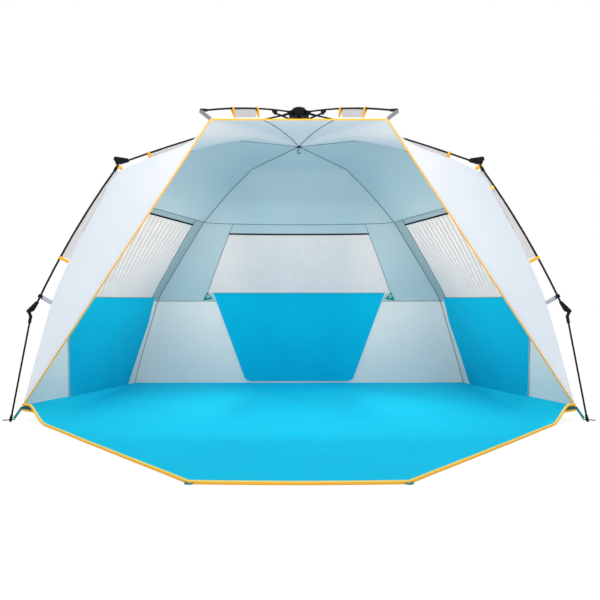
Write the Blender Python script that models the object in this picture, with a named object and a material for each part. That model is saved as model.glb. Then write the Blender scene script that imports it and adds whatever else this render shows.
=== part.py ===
# Beach tent with a folding hub frame. Metres, +Z up, the open side faces -Y.
# The origin is on the ground under the hub. Each leg lies in an upright plane through the hub's axis,
# and its points are given as (reach from that axis, height).
import math

import bpy
import bmesh
from mathutils import Matrix, Vector

for old in list(bpy.data.objects):
    bpy.data.objects.remove(old, do_unlink=True)

# gaps between touching pieces
seat_gap = 0.0003
cloth_gap = 0.0002
swing_gap = 0.0005
weld_distance = 0.00002

# hubs
hub_height = 1.440
hub_radius = 0.050
hub_dome_rise = 0.030
hub_below_pivot = 0.017
hub_pivot_reach = 0.038
hub_slot_width = 0.0085
eye_radius = 0.0055
pin_radius = 0.002
socket_radius = 0.010
socket_depth = 0.012
lower_hub_radius = 0.031
lower_hub_thickness = 0.018
lower_pivot_reach = 0.026
lower_hub_drop = 0.050
lower_hub_drop_folded = 0.300

# poles and their fittings
rod_radius = 0.0043
lower_rod_radius = 0.0040
collar_radius = 0.0068
collar_length = 0.034
end_fitting_length = 0.050
arm_bow = 0.012
middle_bow = 0.014
front_arm_bow = 0.012
elbow_pin_offset = 0.022
knee_pin_offset = 0.012
cheek_radius = 0.0085
fork_width = 0.019
tongue_width = 0.0080
tongue_start = 0.017
tongue_overlap = 0.0013
tongue_root_share = 0.75
sleeve_length = 0.052
slot_reach = 0.027
foot_radius = 0.0075
foot_length = 0.030
foot_hole_height = 0.008
foot_hole_radius = 0.0032

# struts and the brackets that they meet
bracket_drop = 0.012
bracket_width = 0.005
strut_offset = 0.0100
strut_thickness = 0.004
strut_depth = 0.008

# the side legs, the rear legs and the front arms
side_foot_across = 1.226
side_foot_forward = 0.440
side_elbow_reach = 0.858
side_elbow_height = 1.132
side_knee_reach = 1.220
side_knee_height = 0.4655
rear_foot_across = 1.060
rear_foot_back = 0.828
rear_elbow_reach = 0.665
rear_elbow_height = 1.005
rear_knee_reach = 1.105
rear_knee_height = 0.530
arm_tip_across = 0.410
arm_tip_forward = 0.500
arm_tip_height = 1.306

# fabric
cloth = 0.0025
ceiling_below_hub = 0.163
ceiling_height = hub_height - ceiling_below_hub
tie_shares = (0.33, 0.66)
seam_high = 0.960
seam_low = 0.511
tie_gap = 0.042
side_knee_gap = 0.070
rear_knee_gap = 0.040
side_corner_height = 0.064
side_corner_gap = 0.0372
side_foot_reach = math.hypot(side_foot_across, side_foot_forward)
lower_pole_lean = (side_knee_reach - side_foot_reach) / side_knee_height
side_corner_reach = side_foot_reach + lower_pole_lean * side_corner_height - side_corner_gap
rear_corner_reach = 1.300
ridge_bow = 0.022
roof_front_across = 0.3605
roof_front_forward = 0.550
roof_front_below_tip = 0.054
roof_front_height = arm_tip_height - roof_front_below_tip
roof_seam_across = 0.149
front_corner_across = 1.027
front_corner_forward = 0.554
porch_depth = 0.789
porch_front_across = 0.309

# windows and their covers
side_window_head = 0.935
side_window_sill = 0.530
back_window_head = 0.897
back_window_sill = 0.559
back_window_across_low = 0.546
back_window_across_high = 0.397
side_window_start_share = 0.035
side_window_end_share = 0.80
side_window_top_start_share = 0.12
side_window_top_end_share = 0.74
back_cover_across = 0.513
back_cover_across_low = 0.332
cover_row_shares = (0.0, 0.10, 0.28, 0.46, 0.64, 0.80, 0.90, 0.95, 0.98, 1.0)
cover_length_share = 0.955
cover_round_share = 0.12
cover_round_across_share = 0.035
cover_stand_off = 0.002
cover_columns = 6
wall_columns = 6
side_cover_foot_start_share = 0.08
side_cover_foot_end_share = 0.66

# strap, hook and corner fittings
hub_strap_width = 0.025
hook_patch_radius = 0.012
hook_patch_thickness = 0.003
hook_wire_radius = 0.002
hook_radius = 0.008
strap_width = 0.018
strap_lead = 0.005
strap_thickness = 0.002
corner_pin_radius = 0.0022
corner_pin_length = 0.034

rod_sides = 10
bow_steps = 8


def finish_material(name, colour, roughness, metallic):
    material = bpy.data.materials.new(name)
    material.use_nodes = True
    shader = material.node_tree.nodes["Principled BSDF"]
    shader.inputs["Base Color"].default_value = (*colour, 1.0)
    shader.inputs["Roughness"].default_value = roughness
    shader.inputs["Metallic"].default_value = metallic
    return material


black_rod = finish_material("black_rod", (0.012, 0.012, 0.014), 0.35, 0.0)
black_plastic = finish_material("black_plastic", (0.02, 0.02, 0.022), 0.5, 0.0)
pale_fly = finish_material("pale_fly", (0.77, 0.84, 0.91), 0.8, 0.0)
blue_grey = finish_material("blue_grey", (0.40, 0.51, 0.57), 0.8, 0.0)
roof_grey = finish_material("roof_grey", (0.56, 0.59, 0.67), 0.8, 0.0)
wall_grey = finish_material("wall_grey", (0.57, 0.63, 0.67), 0.8, 0.0)
net_grey = finish_material("net_grey", (0.70, 0.68, 0.71), 0.9, 0.0)
cyan_cloth = finish_material("cyan_cloth", (0.01, 0.51, 0.82), 0.75, 0.0)
teal_web = finish_material("teal_web", (0.02, 0.25, 0.26), 0.8, 0.0)


def node(name, mesh, material, parent=None, at=(0.0, 0.0, 0.0)):
    """One named sub-part; its mesh is given in the parent's axes, about the origin at `at`."""
    piece = bpy.data.objects.new(name, mesh)
    bpy.context.scene.collection.objects.link(piece)
    if not mesh.materials:
        mesh.materials.append(material)
    piece.location = at
    piece.parent = parent
    return piece


def mesh_of(name, shape):
    bmesh.ops.recalc_face_normals(shape, faces=shape.faces)
    mesh = bpy.data.meshes.new(name)
    shape.to_mesh(mesh)
    shape.free()
    return mesh


def cross(a, b):
    return a[0] * b[1] - a[1] * b[0]


def hull(points):
    """Convex outline of 2-D points, counter-clockwise."""
    ordered = sorted(set(points))
    sides = []
    for run in (ordered, ordered[::-1]):
        chain = []
        for p in run:
            while len(chain) > 1 and cross(
                (chain[-1][0] - chain[-2][0], chain[-1][1] - chain[-2][1]),
                (p[0] - chain[-2][0], p[1] - chain[-2][1]),
            ) <= 0:
                chain.pop()
            chain.append(p)
        sides += chain[:-1]
    return sides


def disc(centre, radius, steps=20):
    return [
        (centre[0] + radius * math.cos(math.tau * k / steps), centre[1] + radius * math.sin(math.tau * k / steps))
        for k in range(steps)
    ]


def clip(outline, point, outward):
    """The part of a convex outline behind the line through `point` whose normal is `outward`."""
    kept = []
    for k, b in enumerate(outline):
        a = outline[k - 1]
        da = (a[0] - point[0]) * outward[0] + (a[1] - point[1]) * outward[1]
        db = (b[0] - point[0]) * outward[0] + (b[1] - point[1]) * outward[1]
        if da * db < 0:
            share = da / (da - db)
            kept.append((a[0] + share * (b[0] - a[0]), a[1] + share * (b[1] - a[1])))
        if db <= 0:
            kept.append(b)
    return kept


def plate(outline, low, high):
    """A flat plate: an outline in the leg's plane (X, Z) between two values of Y."""
    shape = bmesh.new()
    face = shape.faces.new([shape.verts.new((x, low, z)) for x, z in outline])
    grown = bmesh.ops.extrude_face_region(shape, geom=[face])
    moved = [v for v in grown["geom"] if isinstance(v, bmesh.types.BMVert)]
    bmesh.ops.translate(shape, verts=moved, vec=(0.0, high - low, 0.0))
    return mesh_of("plate", shape)


def sweep(path, radii, sides=rod_sides):
    """A round rod along a path of points, with a radius for each and flat ends."""
    shape = bmesh.new()
    points = [Vector(p) for p in path]
    rings = []
    for k, p in enumerate(points):
        ahead = points[min(k + 1, len(points) - 1)] - points[max(k - 1, 0)]
        turn = ahead.to_track_quat("Z", "Y").to_matrix()
        ring = []
        for s in range(sides):
            angle = math.tau * (s + 0.5) / sides
            ring.append(shape.verts.new(p + turn @ Vector((math.cos(angle), math.sin(angle), 0.0)) * radii[k]))
        rings.append(ring)
    for a, b in zip(rings, rings[1:]):
        for s in range(sides):
            shape.faces.new((a[s], a[(s + 1) % sides], b[(s + 1) % sides], b[s]))
    shape.faces.new(rings[0][::-1])
    shape.faces.new(rings[-1])
    return mesh_of("rod", shape)


def straight(start, end, radius, sides=rod_sides):
    return sweep([start, end], [radius, radius], sides)


def turned(profile, steps=36):
    """A body turned about Z from (radius, height) points that start and end on the axis."""
    shape = bmesh.new()
    rings = []
    for radius, height in profile:
        if radius == 0:
            rings.append([shape.verts.new((0.0, 0.0, height))])
        else:
            rings.append([
                shape.verts.new((radius * math.cos(math.tau * s / steps), radius * math.sin(math.tau * s / steps), height))
                for s in range(steps)
            ])
    for a, b in zip(rings, rings[1:]):
        for s in range(steps):
            t = (s + 1) % steps
            around = [a[s % len(a)], a[t % len(a)], b[t % len(b)], b[s % len(b)]]
            shape.faces.new(list(dict.fromkeys(around)))
    return mesh_of("turned", shape)


def combine(base, others, operation):
    """The mesh left when other meshes are joined to a base mesh or cut from it."""
    body = bpy.data.objects.new("body", base)
    bpy.context.scene.collection.objects.link(body)
    tools = []
    for mesh in others:
        tool = bpy.data.objects.new("tool", mesh)
        bpy.context.scene.collection.objects.link(tool)
        tools.append(tool)
        step = body.modifiers.new("step", "BOOLEAN")
        step.operation = operation
        step.object = tool
        step.solver = "EXACT"
    bpy.context.view_layer.update()
    result = bpy.data.meshes.new_from_object(body.evaluated_get(bpy.context.evaluated_depsgraph_get()))
    for tool in [body, *tools]:
        bpy.data.objects.remove(tool, do_unlink=True)
    shape = bmesh.new()
    shape.from_mesh(result)
    bmesh.ops.remove_doubles(shape, verts=shape.verts, dist=weld_distance)
    bmesh.ops.dissolve_degenerate(shape, edges=shape.edges, dist=weld_distance)
    shape.to_mesh(result)
    shape.free()
    return result


def turn_mesh(mesh, matrix):
    moved = mesh.copy()
    moved.transform(matrix)
    if matrix.determinant() < 0:
        moved.flip_normals()
    return moved


def bowed(start, end, bow, steps=bow_steps):
    """Points from start to end in the leg's plane that bow outwards and up."""
    (x0, z0), (x1, z1) = start, end
    length = math.hypot(x1 - x0, z1 - z0)
    out = ((z0 - z1) / length, (x1 - x0) / length)
    path = []
    for k in range(steps + 1):
        share = k / steps
        rise = 4 * bow * share * (1 - share)
        path.append((x0 + share * (x1 - x0) + rise * out[0], z0 + share * (z1 - z0) + rise * out[1]))
    return path


def direction(a, b):
    length = math.hypot(b[0] - a[0], b[1] - a[1])
    return ((b[0] - a[0]) / length, (b[1] - a[1]) / length)


def along(p, way, distance):
    return (p[0] + way[0] * distance, p[1] + way[1] * distance)


def left_of(way):
    return (-way[1], way[0])


def pin_point(before, corner, after, offset):
    """A bend's hinge pin, `offset` outside both pole axes, and the bend's angle."""
    way_in = direction(before, corner)
    way_out = direction(corner, after)
    bend = math.acos(max(-1.0, min(1.0, way_in[0] * way_out[0] + way_in[1] * way_out[1])))
    foot = along(corner, way_in, offset * math.tan(bend / 2))
    return along(foot, left_of(way_in), offset), bend


def relative(points, origin):
    return [(x - origin[0], z - origin[1]) for x, z in points]


def in_plane(points):
    return [(x, 0.0, z) for x, z in points]


def fork_mesh(pin, corner, way_in, way_out, offset):
    """An elbow's or knee's housing: sleeve, two cheeks and the pin, about the pin as origin."""
    base = along(corner, way_in, offset * math.tan(math.acos(way_in[0] * way_out[0] + way_in[1] * way_out[1]) / 2))
    back = along(base, way_in, -sleeve_length)
    side = left_of(way_in)
    outline = disc(pin, cheek_radius) + disc(along(base, way_in, -cheek_radius * 1.5), collar_radius)
    outline += [along(back, side, collar_radius), along(back, side, -collar_radius)]
    foot = along(pin, left_of(way_out), -offset)
    outline = clip(hull(outline), along(foot, way_out, tongue_start - swing_gap), way_out)
    body = plate(relative(outline, pin), -fork_width / 2, fork_width / 2)
    near = along(base, way_in, -slot_reach)
    far = 3 * slot_reach
    slot = [along(near, side, -far), along(along(near, way_in, far), side, -far)]
    slot += [along(along(near, way_in, far), side, far), along(near, side, far)]
    half = tongue_width / 2 + swing_gap
    gap = plate(relative(slot, pin), -half, half)
    bore_start = relative([along(base, way_in, -sleeve_length - slot_reach)], pin)[0]
    bore_end = relative([along(base, way_in, -slot_reach - swing_gap)], pin)[0]
    bore = straight((bore_start[0], 0.0, bore_start[1]), (bore_end[0], 0.0, bore_end[1]), rod_radius + seat_gap, 16)
    body = combine(body, [gap, bore], "DIFFERENCE")
    axle = sweep([(0, -half - swing_gap, 0), (0, half + swing_gap, 0)], [pin_radius, pin_radius], 12)
    return combine(body, [axle], "UNION")


def tongue_mesh(way, offset, rod_path, rod_size):
    """A pole whose top is an eye on a tongue, about the hinge pin as origin."""
    side = left_of(way)
    axis = along((0.0, 0.0), side, -offset)
    start = along(axis, way, tongue_start)
    eye = plate(
        hull(disc((0.0, 0.0), collar_radius) + [
            along(along(start, way, tongue_overlap), side, collar_radius * tongue_root_share),
            along(along(start, way, tongue_overlap), side, -collar_radius * tongue_root_share),
            along(along(start, way, collar_radius), side, -collar_radius * tongue_root_share),
            along(along(start, way, collar_radius), side, collar_radius * tongue_root_share),
        ]),
        -tongue_width / 2,
        tongue_width / 2,
    )
    hole = sweep([(0, -fork_width, 0), (0, fork_width, 0)], [pin_radius + swing_gap] * 2, 12)
    eye = combine(eye, [hole], "DIFFERENCE")
    top = along(start, way, 0.0)
    low = along(start, way, collar_length)
    collar = straight((top[0], 0, top[1]), (low[0], 0, low[1]), collar_radius, 14)
    rod = sweep(in_plane(rod_path), [rod_size] * len(rod_path))
    return combine(eye, [collar, rod], "UNION")


def bracket_place(slope):
    """How far along an arm its strut's bracket sits, so that the strut fits when open and when folded."""
    inset = hub_pivot_reach - lower_pivot_reach
    low, high = lower_hub_drop, lower_hub_drop_folded
    top = high ** 2 - low ** 2 - 2 * inset * bracket_drop * (1 - math.sin(slope))
    top += 2 * low * bracket_drop * math.cos(slope)
    return top / (2 * (high + inset * math.cos(slope) - low * math.sin(slope)))


def arm_mesh(path, slope, hand):
    """An upper pole: hub eye, end fitting, bowed rod and strut bracket, about the hub pivot as origin."""
    way = (math.cos(slope), -math.sin(slope))
    side = left_of(way)
    eye = plate(
        hull(disc((0.0, 0.0), eye_radius) + [
            along(along((0.0, 0.0), way, end_fitting_length * 0.55), side, eye_radius * 0.8),
            along(along((0.0, 0.0), way, end_fitting_length * 0.55), side, -eye_radius * 0.8),
        ]),
        -tongue_width / 2,
        tongue_width / 2,
    )
    hole = sweep([(0, -hub_slot_width, 0), (0, hub_slot_width, 0)], [pin_radius + swing_gap] * 2, 12)
    eye = combine(eye, [hole], "DIFFERENCE")
    fit_start = along((0.0, 0.0), way, end_fitting_length * 0.4)
    fit_end = along((0.0, 0.0), way, end_fitting_length)
    fitting = straight((fit_start[0], 0, fit_start[1]), (fit_end[0], 0, fit_end[1]), collar_radius * 0.85, 14)
    rod = sweep(in_plane(path), [rod_radius] * len(path))
    spot = along((0.0, 0.0), way, bracket_place(slope))
    ring_a = along(spot, way, -collar_radius * 1.8)
    ring_b = along(spot, way, collar_radius * 1.8)
    ring = straight((ring_a[0], 0, ring_a[1]), (ring_b[0], 0, ring_b[1]), collar_radius, 14)
    lug_centre = along(spot, side, -bracket_drop)
    lug = plate(
        hull(disc(lug_centre, strut_depth / 2) + [ring_a, ring_b]), -bracket_width / 2, bracket_width / 2
    )
    reach = strut_offset - strut_thickness / 2 - swing_gap
    stub = sweep([(lug_centre[0], 0, lug_centre[1]), (lug_centre[0], hand * reach, lug_centre[1])], [pin_radius] * 2, 12)
    return combine(eye, [fitting, rod, ring, lug, stub], "UNION")


def strut_mesh(slope, hand):
    """A strut from the lower hub to an arm's bracket, about its lower pivot as origin."""
    start = (0.0, 0.0)
    spot = bracket_place(slope)
    end = (
        hub_pivot_reach + spot * math.cos(slope) - bracket_drop * math.sin(slope) - lower_pivot_reach,
        lower_hub_drop - spot * math.sin(slope) - bracket_drop * math.cos(slope),
    )
    outline = hull(disc(start, strut_depth / 2) + disc(end, strut_depth / 2))
    low = hand * strut_offset - strut_thickness / 2
    bar = plate(outline, low, low + strut_thickness)
    hole = sweep([(0, low - fork_width, 0), (0, low + fork_width, 0)], [pin_radius + swing_gap] * 2, 12)
    return combine(bar, [hole], "DIFFERENCE")


def side_azimuth():
    return math.atan2(-side_foot_forward, side_foot_across)


def rear_azimuth():
    return math.atan2(rear_foot_back, rear_foot_across)


def front_azimuth():
    return math.atan2(-arm_tip_forward, arm_tip_across)


hub_pivot = (hub_pivot_reach, hub_height)
legs = {
    "side": {
        "azimuth": side_azimuth(),
        "elbow": (side_elbow_reach, side_elbow_height),
        "knee": (side_knee_reach, side_knee_height),
        "foot": (side_foot_reach, 0.0),
    },
    "rear": {
        "azimuth": rear_azimuth(),
        "elbow": (rear_elbow_reach, rear_elbow_height),
        "knee": (rear_knee_reach, rear_knee_height),
        "foot": (math.hypot(rear_foot_across, rear_foot_back), 0.0),
    },
}
arm_tip = (math.hypot(arm_tip_across, arm_tip_forward), arm_tip_height)
hands = {"right": 1, "left": -1}
frame_empties = {}


def plane_empty(name, azimuth, hand):
    """An empty on the hub's axis whose X points along one arm; the left one mirrors the right."""
    angle = azimuth if hand > 0 else math.pi - azimuth
    empty = bpy.data.objects.new(name, None)
    bpy.context.scene.collection.objects.link(empty)
    empty.rotation_euler = (0.0, 0.0, angle)
    frame_empties[name] = empty
    return empty


def make_leg(kind, side):
    leg = legs[kind]
    hand = hands[side]
    plane = plane_empty(f"{kind}_plane_{side}", leg["azimuth"], hand)
    elbow, knee, foot = leg["elbow"], leg["knee"], leg["foot"]
    way_arm, way_mid, way_low = direction(hub_pivot, elbow), direction(elbow, knee), direction(knee, foot)
    elbow_pin, _ = pin_point(hub_pivot, elbow, knee, elbow_pin_offset)
    knee_pin, _ = pin_point(elbow, knee, foot, knee_pin_offset)
    slope = math.atan2(-way_arm[1], way_arm[0])
    elbow_base = along(elbow_pin, left_of(way_arm), -elbow_pin_offset)
    knee_base = along(knee_pin, left_of(way_mid), -knee_pin_offset)
    arm_start = along(hub_pivot, way_arm, end_fitting_length * 0.7)
    arm_end = along(elbow_base, way_arm, -slot_reach - 2 * swing_gap)
    sleeve_in = along(elbow_base, way_arm, -sleeve_length)
    path = bowed(arm_start, sleeve_in, arm_bow) + [arm_end]
    upper = arm_mesh(relative(path, hub_pivot), slope, hand)
    node(f"upper_pole_{kind}_{side}", upper, black_rod, plane, (hub_pivot[0], 0, hub_pivot[1]))
    fork = fork_mesh(elbow_pin, elbow, way_arm, way_mid, elbow_pin_offset)
    node(f"elbow_housing_{kind}_{side}", fork, black_plastic, plane, (elbow_pin[0], 0, elbow_pin[1]))
    mid_start = along(along(elbow_pin, left_of(way_mid), -elbow_pin_offset), way_mid, tongue_start + collar_length * 0.8)
    mid_end = along(knee_base, way_mid, -slot_reach - 2 * swing_gap)
    mid_path = bowed(mid_start, along(knee_base, way_mid, -sleeve_length), middle_bow) + [mid_end]
    middle = tongue_mesh(way_mid, elbow_pin_offset, relative(mid_path, elbow_pin), rod_radius)
    node(f"middle_pole_{kind}_{side}", middle, black_rod, plane, (elbow_pin[0], 0, elbow_pin[1]))
    knee_fork = fork_mesh(knee_pin, knee, way_mid, way_low, knee_pin_offset)
    node(f"knee_housing_{kind}_{side}", knee_fork, black_plastic, plane, (knee_pin[0], 0, knee_pin[1]))
    low_base = along(knee_pin, left_of(way_low), -knee_pin_offset)
    low_start = along(low_base, way_low, tongue_start + collar_length * 0.8)
    low_end = along(foot, way_low, -foot_length)
    lower = tongue_mesh(way_low, knee_pin_offset, relative([low_start, low_end], knee_pin), lower_rod_radius)
    node(f"lower_pole_{kind}_{side}", lower, black_rod, plane, (knee_pin[0], 0, knee_pin[1]))
    cap_top = along(low_end, way_low, seat_gap)
    sole = foot_radius * 0.8
    cap_neck = along(cap_top, way_low, sole)
    cap = sweep(
        [(cap_top[0], 0, cap_top[1]), (cap_neck[0], 0, cap_neck[1]), (foot[0], 0, sole), (foot[0], 0, 0)],
        [lower_rod_radius * 1.3, lower_rod_radius * 1.4, foot_radius, foot_radius * 0.8],
        14,
    )
    if kind == "side":
        bore = sweep(
            [(foot[0] - fork_width, 0, foot_hole_height), (foot[0] + fork_width, 0, foot_hole_height)],
            [foot_hole_radius] * 2,
            12,
        )
        cap = combine(cap, [bore], "DIFFERENCE")
    cap.transform(Matrix.Translation((-knee_pin[0], 0, -knee_pin[1])))
    node(f"foot_{kind}_{side}", cap, black_plastic, plane, (knee_pin[0], 0, knee_pin[1]))
    make_strut(f"strut_{kind}_{side}", plane, slope, hand)


def make_strut(name, plane, slope, hand):
    node(name, strut_mesh(slope, hand), black_plastic, plane, (lower_pivot_reach, 0, hub_height - lower_hub_drop))


def make_front_arm(side):
    hand = hands[side]
    plane = plane_empty(f"front_plane_{side}", front_azimuth(), hand)
    way = direction(hub_pivot, arm_tip)
    slope = math.atan2(-way[1], way[0])
    path = bowed(along(hub_pivot, way, end_fitting_length * 0.7), along(arm_tip, way, -collar_length), front_arm_bow)
    arm = arm_mesh(relative(path, hub_pivot), slope, -hand)
    tip_start = along(arm_tip, way, -collar_length - rod_radius)
    tip_end = arm_tip
    tip = [(p[0] - hub_pivot[0], 0, p[1] - hub_pivot[1]) for p in (tip_start, along(tip_end, way, -rod_radius), tip_end)]
    cap = sweep(tip, [rod_radius * 1.4, rod_radius * 1.6, rod_radius], 12)
    arm = combine(arm, [cap], "UNION")
    node(f"front_arm_{side}", arm, black_rod, plane, (hub_pivot[0], 0, hub_pivot[1]))
    make_strut(f"strut_front_{side}", plane, slope, -hand)


def spin_about_z(mesh, angle):
    return turn_mesh(mesh, Matrix.Rotation(angle, 4, "Z"))


def arm_angles():
    """Each arm's angle about the hub and the side on which its strut lies."""
    found = []
    for azimuth, strut_side in ((front_azimuth(), -1), (side_azimuth(), 1), (rear_azimuth(), 1)):
        for hand in hands.values():
            found.append((azimuth if hand > 0 else math.pi - azimuth, hand * strut_side))
    return found


def make_hubs():
    top = hub_dome_rise
    rim = hub_dome_rise * 0.35
    profile = [(0, top), (hub_radius * 0.35, top * 0.97), (hub_radius * 0.62, top * 0.80), (hub_radius * 0.72, rim)]
    profile += [(hub_radius, rim * 0.8), (hub_radius, -hub_below_pivot * 0.7), (hub_radius * 0.9, -hub_below_pivot)]
    profile += [(socket_radius, -hub_below_pivot), (socket_radius, socket_depth - hub_below_pivot)]
    profile += [(0, socket_depth - hub_below_pivot)]
    body = turned(profile)
    slots, axles = [], []
    half = hub_slot_width / 2
    inner = hub_pivot_reach - eye_radius * 1.6
    for angle, hand in arm_angles():
        cut = [(inner, -hub_below_pivot * 2), (hub_radius * 2, -hub_below_pivot * 2)]
        cut += [(hub_radius * 2, eye_radius * 1.6), (inner, eye_radius * 1.6)]
        slots.append(spin_about_z(plate(cut, -half, half), angle))
        pin = sweep(
            [(hub_pivot_reach, -half - swing_gap, 0), (hub_pivot_reach, half + swing_gap, 0)], [pin_radius] * 2, 12
        )
        axles.append(spin_about_z(pin, angle))
    body = combine(combine(body, slots, "DIFFERENCE"), axles, "UNION")
    node("hub_top", body, black_plastic, None, (0, 0, hub_height))

    half_thick = lower_hub_thickness / 2
    spigot_top = lower_hub_drop - hub_below_pivot + socket_depth * 0.6
    ring = [(0, spigot_top), (socket_radius - swing_gap, spigot_top), (socket_radius - swing_gap, half_thick)]
    ring += [(lower_hub_radius, half_thick), (lower_hub_radius, -half_thick), (0, -half_thick)]
    lower = turned(ring)
    slots, axles = [], []
    for angle, hand in arm_angles():
        inner = lower_pivot_reach - strut_depth * 0.8
        cut = [(inner, -half_thick * 2), (hub_radius, -half_thick * 2), (hub_radius, half_thick * 2)]
        cut += [(inner, half_thick * 2)]
        low = hand * strut_offset - strut_thickness / 2 - swing_gap
        slots.append(spin_about_z(plate(cut, low, low + strut_thickness + 2 * swing_gap), angle))
        pin = sweep(
            [
                (lower_pivot_reach, low - swing_gap, 0),
                (lower_pivot_reach, low + strut_thickness + 3 * swing_gap, 0),
            ],
            [pin_radius] * 2,
            12,
        )
        axles.append(spin_about_z(pin, angle))
    lower = combine(combine(lower, slots, "DIFFERENCE"), axles, "UNION")
    node("hub_lower", lower, black_plastic, None, (0, 0, hub_height - lower_hub_drop))


# fabric ridges: rows of (reach, height) under each leg, from the ceiling's peak to the ground
def under_pole(leg, share):
    """A point of the fabric under the upper pole, at a share of the elbow's reach."""
    elbow = leg["elbow"]
    reach = share * elbow[0]
    straight_part = (reach - hub_pivot_reach) / (elbow[0] - hub_pivot_reach)
    pole = hub_height + (elbow[1] - hub_height) * straight_part + 4 * arm_bow * straight_part * (1 - straight_part)
    drop = tie_gap + (hub_height - ceiling_height - tie_gap) * (1 - share) ** 4
    return (reach, pole - drop)


def ridge_rows(leg, knee_gap, corner):
    peak = (0.0, ceiling_height)
    elbow = (leg["elbow"][0], leg["elbow"][1] - tie_gap)
    knee = (leg["knee"][0] - knee_gap, leg["knee"][1])
    line = [peak, *(under_pole(leg, share) for share in tie_shares), elbow]
    line += bowed(elbow, knee, ridge_bow, 4)[1:]
    line += [corner]
    return line


def at_height(line, height):
    for a, b in zip(line[1:], line[2:]):
        if a[1] >= height >= b[1]:
            share = (a[1] - height) / (a[1] - b[1])
            return (a[0] + share * (b[0] - a[0]), height)
    return line[-1]


def stand(points, azimuth):
    return [Vector((r * math.cos(azimuth), r * math.sin(azimuth), z)) for r, z in points]


def mirrored(points):
    return [Vector((-p.x, p.y, p.z)) for p in points]


def inset_loop(loop, normal, gap):
    """A loop of points drawn in by a small gap within its own surface."""
    drawn = []
    count = len(loop)
    for k in range(count):
        before = (loop[k] - loop[k - 1]).normalized()
        after = (loop[(k + 1) % count] - loop[k]).normalized()
        in_a = normal.cross(before).normalized()
        in_b = normal.cross(after).normalized()
        shift = (in_a + in_b) / max(0.3, 1 + in_a.dot(in_b))
        drawn.append(loop[k] + shift * gap)
    return drawn


def mean_normal(loop):
    total = Vector()
    for a, b in zip(loop, loop[1:] + loop[:1]):
        total += a.cross(b)
    return total.normalized()


def thicken(shape, outward):
    grown = bmesh.ops.extrude_face_region(shape, geom=shape.faces[:])
    moved = [v for v in grown["geom"] if isinstance(v, bmesh.types.BMVert)]
    bmesh.ops.translate(shape, verts=moved, vec=Vector(outward).normalized() * cloth)


def lerp(a, b, share):
    return a + (b - a) * share


def cloth_panel(name, points, faces, loop, outward, material, parent=None, at=(0.0, 0.0, 0.0)):
    """A cloth panel from points and faces; its edge is drawn in a little, and it is thickened outwards."""
    points = [p - Vector(at) for p in points]
    edge = [k for n, k in enumerate(loop) if (points[k] - points[loop[n - 1]]).length > seat_gap]
    normal = mean_normal([points[k] for k in edge])
    for k, p in zip(edge, inset_loop([points[k] for k in edge], normal, cloth_gap)):
        points[k] = p
    shape = bmesh.new()
    verts = {}
    for face in faces:
        for k in face:
            if k not in verts:
                verts[k] = shape.verts.new(points[k])
        shape.faces.new([verts[k] for k in face])
    bmesh.ops.triangulate(shape, faces=shape.faces[:])
    thicken(shape, outward)
    return node(name, mesh_of(name, shape), material, parent, at)


def grid_panel(name, rows, outward, material, skip=(), parent=None, at=(0.0, 0.0, 0.0)):
    """A cloth panel on a grid of rows; a row whose points all meet is one corner of the panel."""
    points, keys = [], []
    for row in rows:
        if all((p - row[0]).length < seat_gap for p in row):
            points.append(row[0])
            keys.append([len(points) - 1] * len(row))
        else:
            keys.append(list(range(len(points), len(points) + len(row))))
            points += row
    faces = []
    for r in range(len(rows) - 1):
        for c in range(len(rows[r]) - 1):
            if (r, c) not in skip:
                around = [keys[r][c], keys[r][c + 1], keys[r + 1][c + 1], keys[r + 1][c]]
                faces.append(list(dict.fromkeys(around)))
    loop = keys[0] + [k[-1] for k in keys[1:]] + keys[-1][-2::-1] + [k[0] for k in keys[-2:0:-1]]
    return cloth_panel(name, points, faces, list(dict.fromkeys(loop)), outward, material, parent, at)


side_line = ridge_rows(legs["side"], side_knee_gap, (side_corner_reach, side_corner_height))
rear_line = ridge_rows(legs["rear"], rear_knee_gap, (rear_corner_reach, 0.0))
wall_lift = cloth + seat_gap
peak = Vector((0.0, 0.0, ceiling_height))
window_heights = [seam_high, side_window_head, back_window_head]
window_heights += [(back_window_head + back_window_sill) / 2, back_window_sill, side_window_sill, seam_low]


def roof_rows(line):
    """The ridge from the ceiling's peak down to the high seam."""
    return [line[0]] + [p for p in line[1:] if p[1] > seam_high] + [at_height(line, seam_high)]


low_bend_share = (seam_low - side_knee_height) / (seam_low - side_corner_height)
low_row_shares = (0.0, low_bend_share, 0.28, 0.46, 0.64, 0.82, 1.0)


def low_point(line, share):
    """A point of the ridge at a share of the way from the low seam down to the floor."""
    top, foot = at_height(line, seam_low), (line[-1][0], line[-1][1] + wall_lift)
    if line[-1][1] == 0:
        return (top[0] + share * (foot[0] - top[0]), top[1] + share * (foot[1] - top[1]))
    bend = at_height(line, side_knee_height)
    if share < low_bend_share:
        part = share / low_bend_share
        return (top[0] + part * (bend[0] - top[0]), top[1] + part * (bend[1] - top[1]))
    part = (share - low_bend_share) / (1 - low_bend_share)
    return (bend[0] + part * (foot[0] - bend[0]), bend[1] + part * (foot[1] - bend[1]))


ridges = {}
for kind, line in (("side", side_line), ("rear", rear_line)):
    azimuth = legs[kind]["azimuth"]
    ridges[kind] = {
        "roof": stand(roof_rows(line), azimuth),
        "window": stand([at_height(line, h) for h in window_heights], azimuth),
        "low": stand([low_point(line, s) for s in low_row_shares], azimuth),
        "cover": stand([low_point(line, s * cover_length_share) for s in cover_row_shares], azimuth),
    }


def both(points, side):
    return points if hands[side] > 0 else mirrored(points)


def toward(v, side):
    return Vector((v[0] * hands[side], v[1], v[2]))


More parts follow.
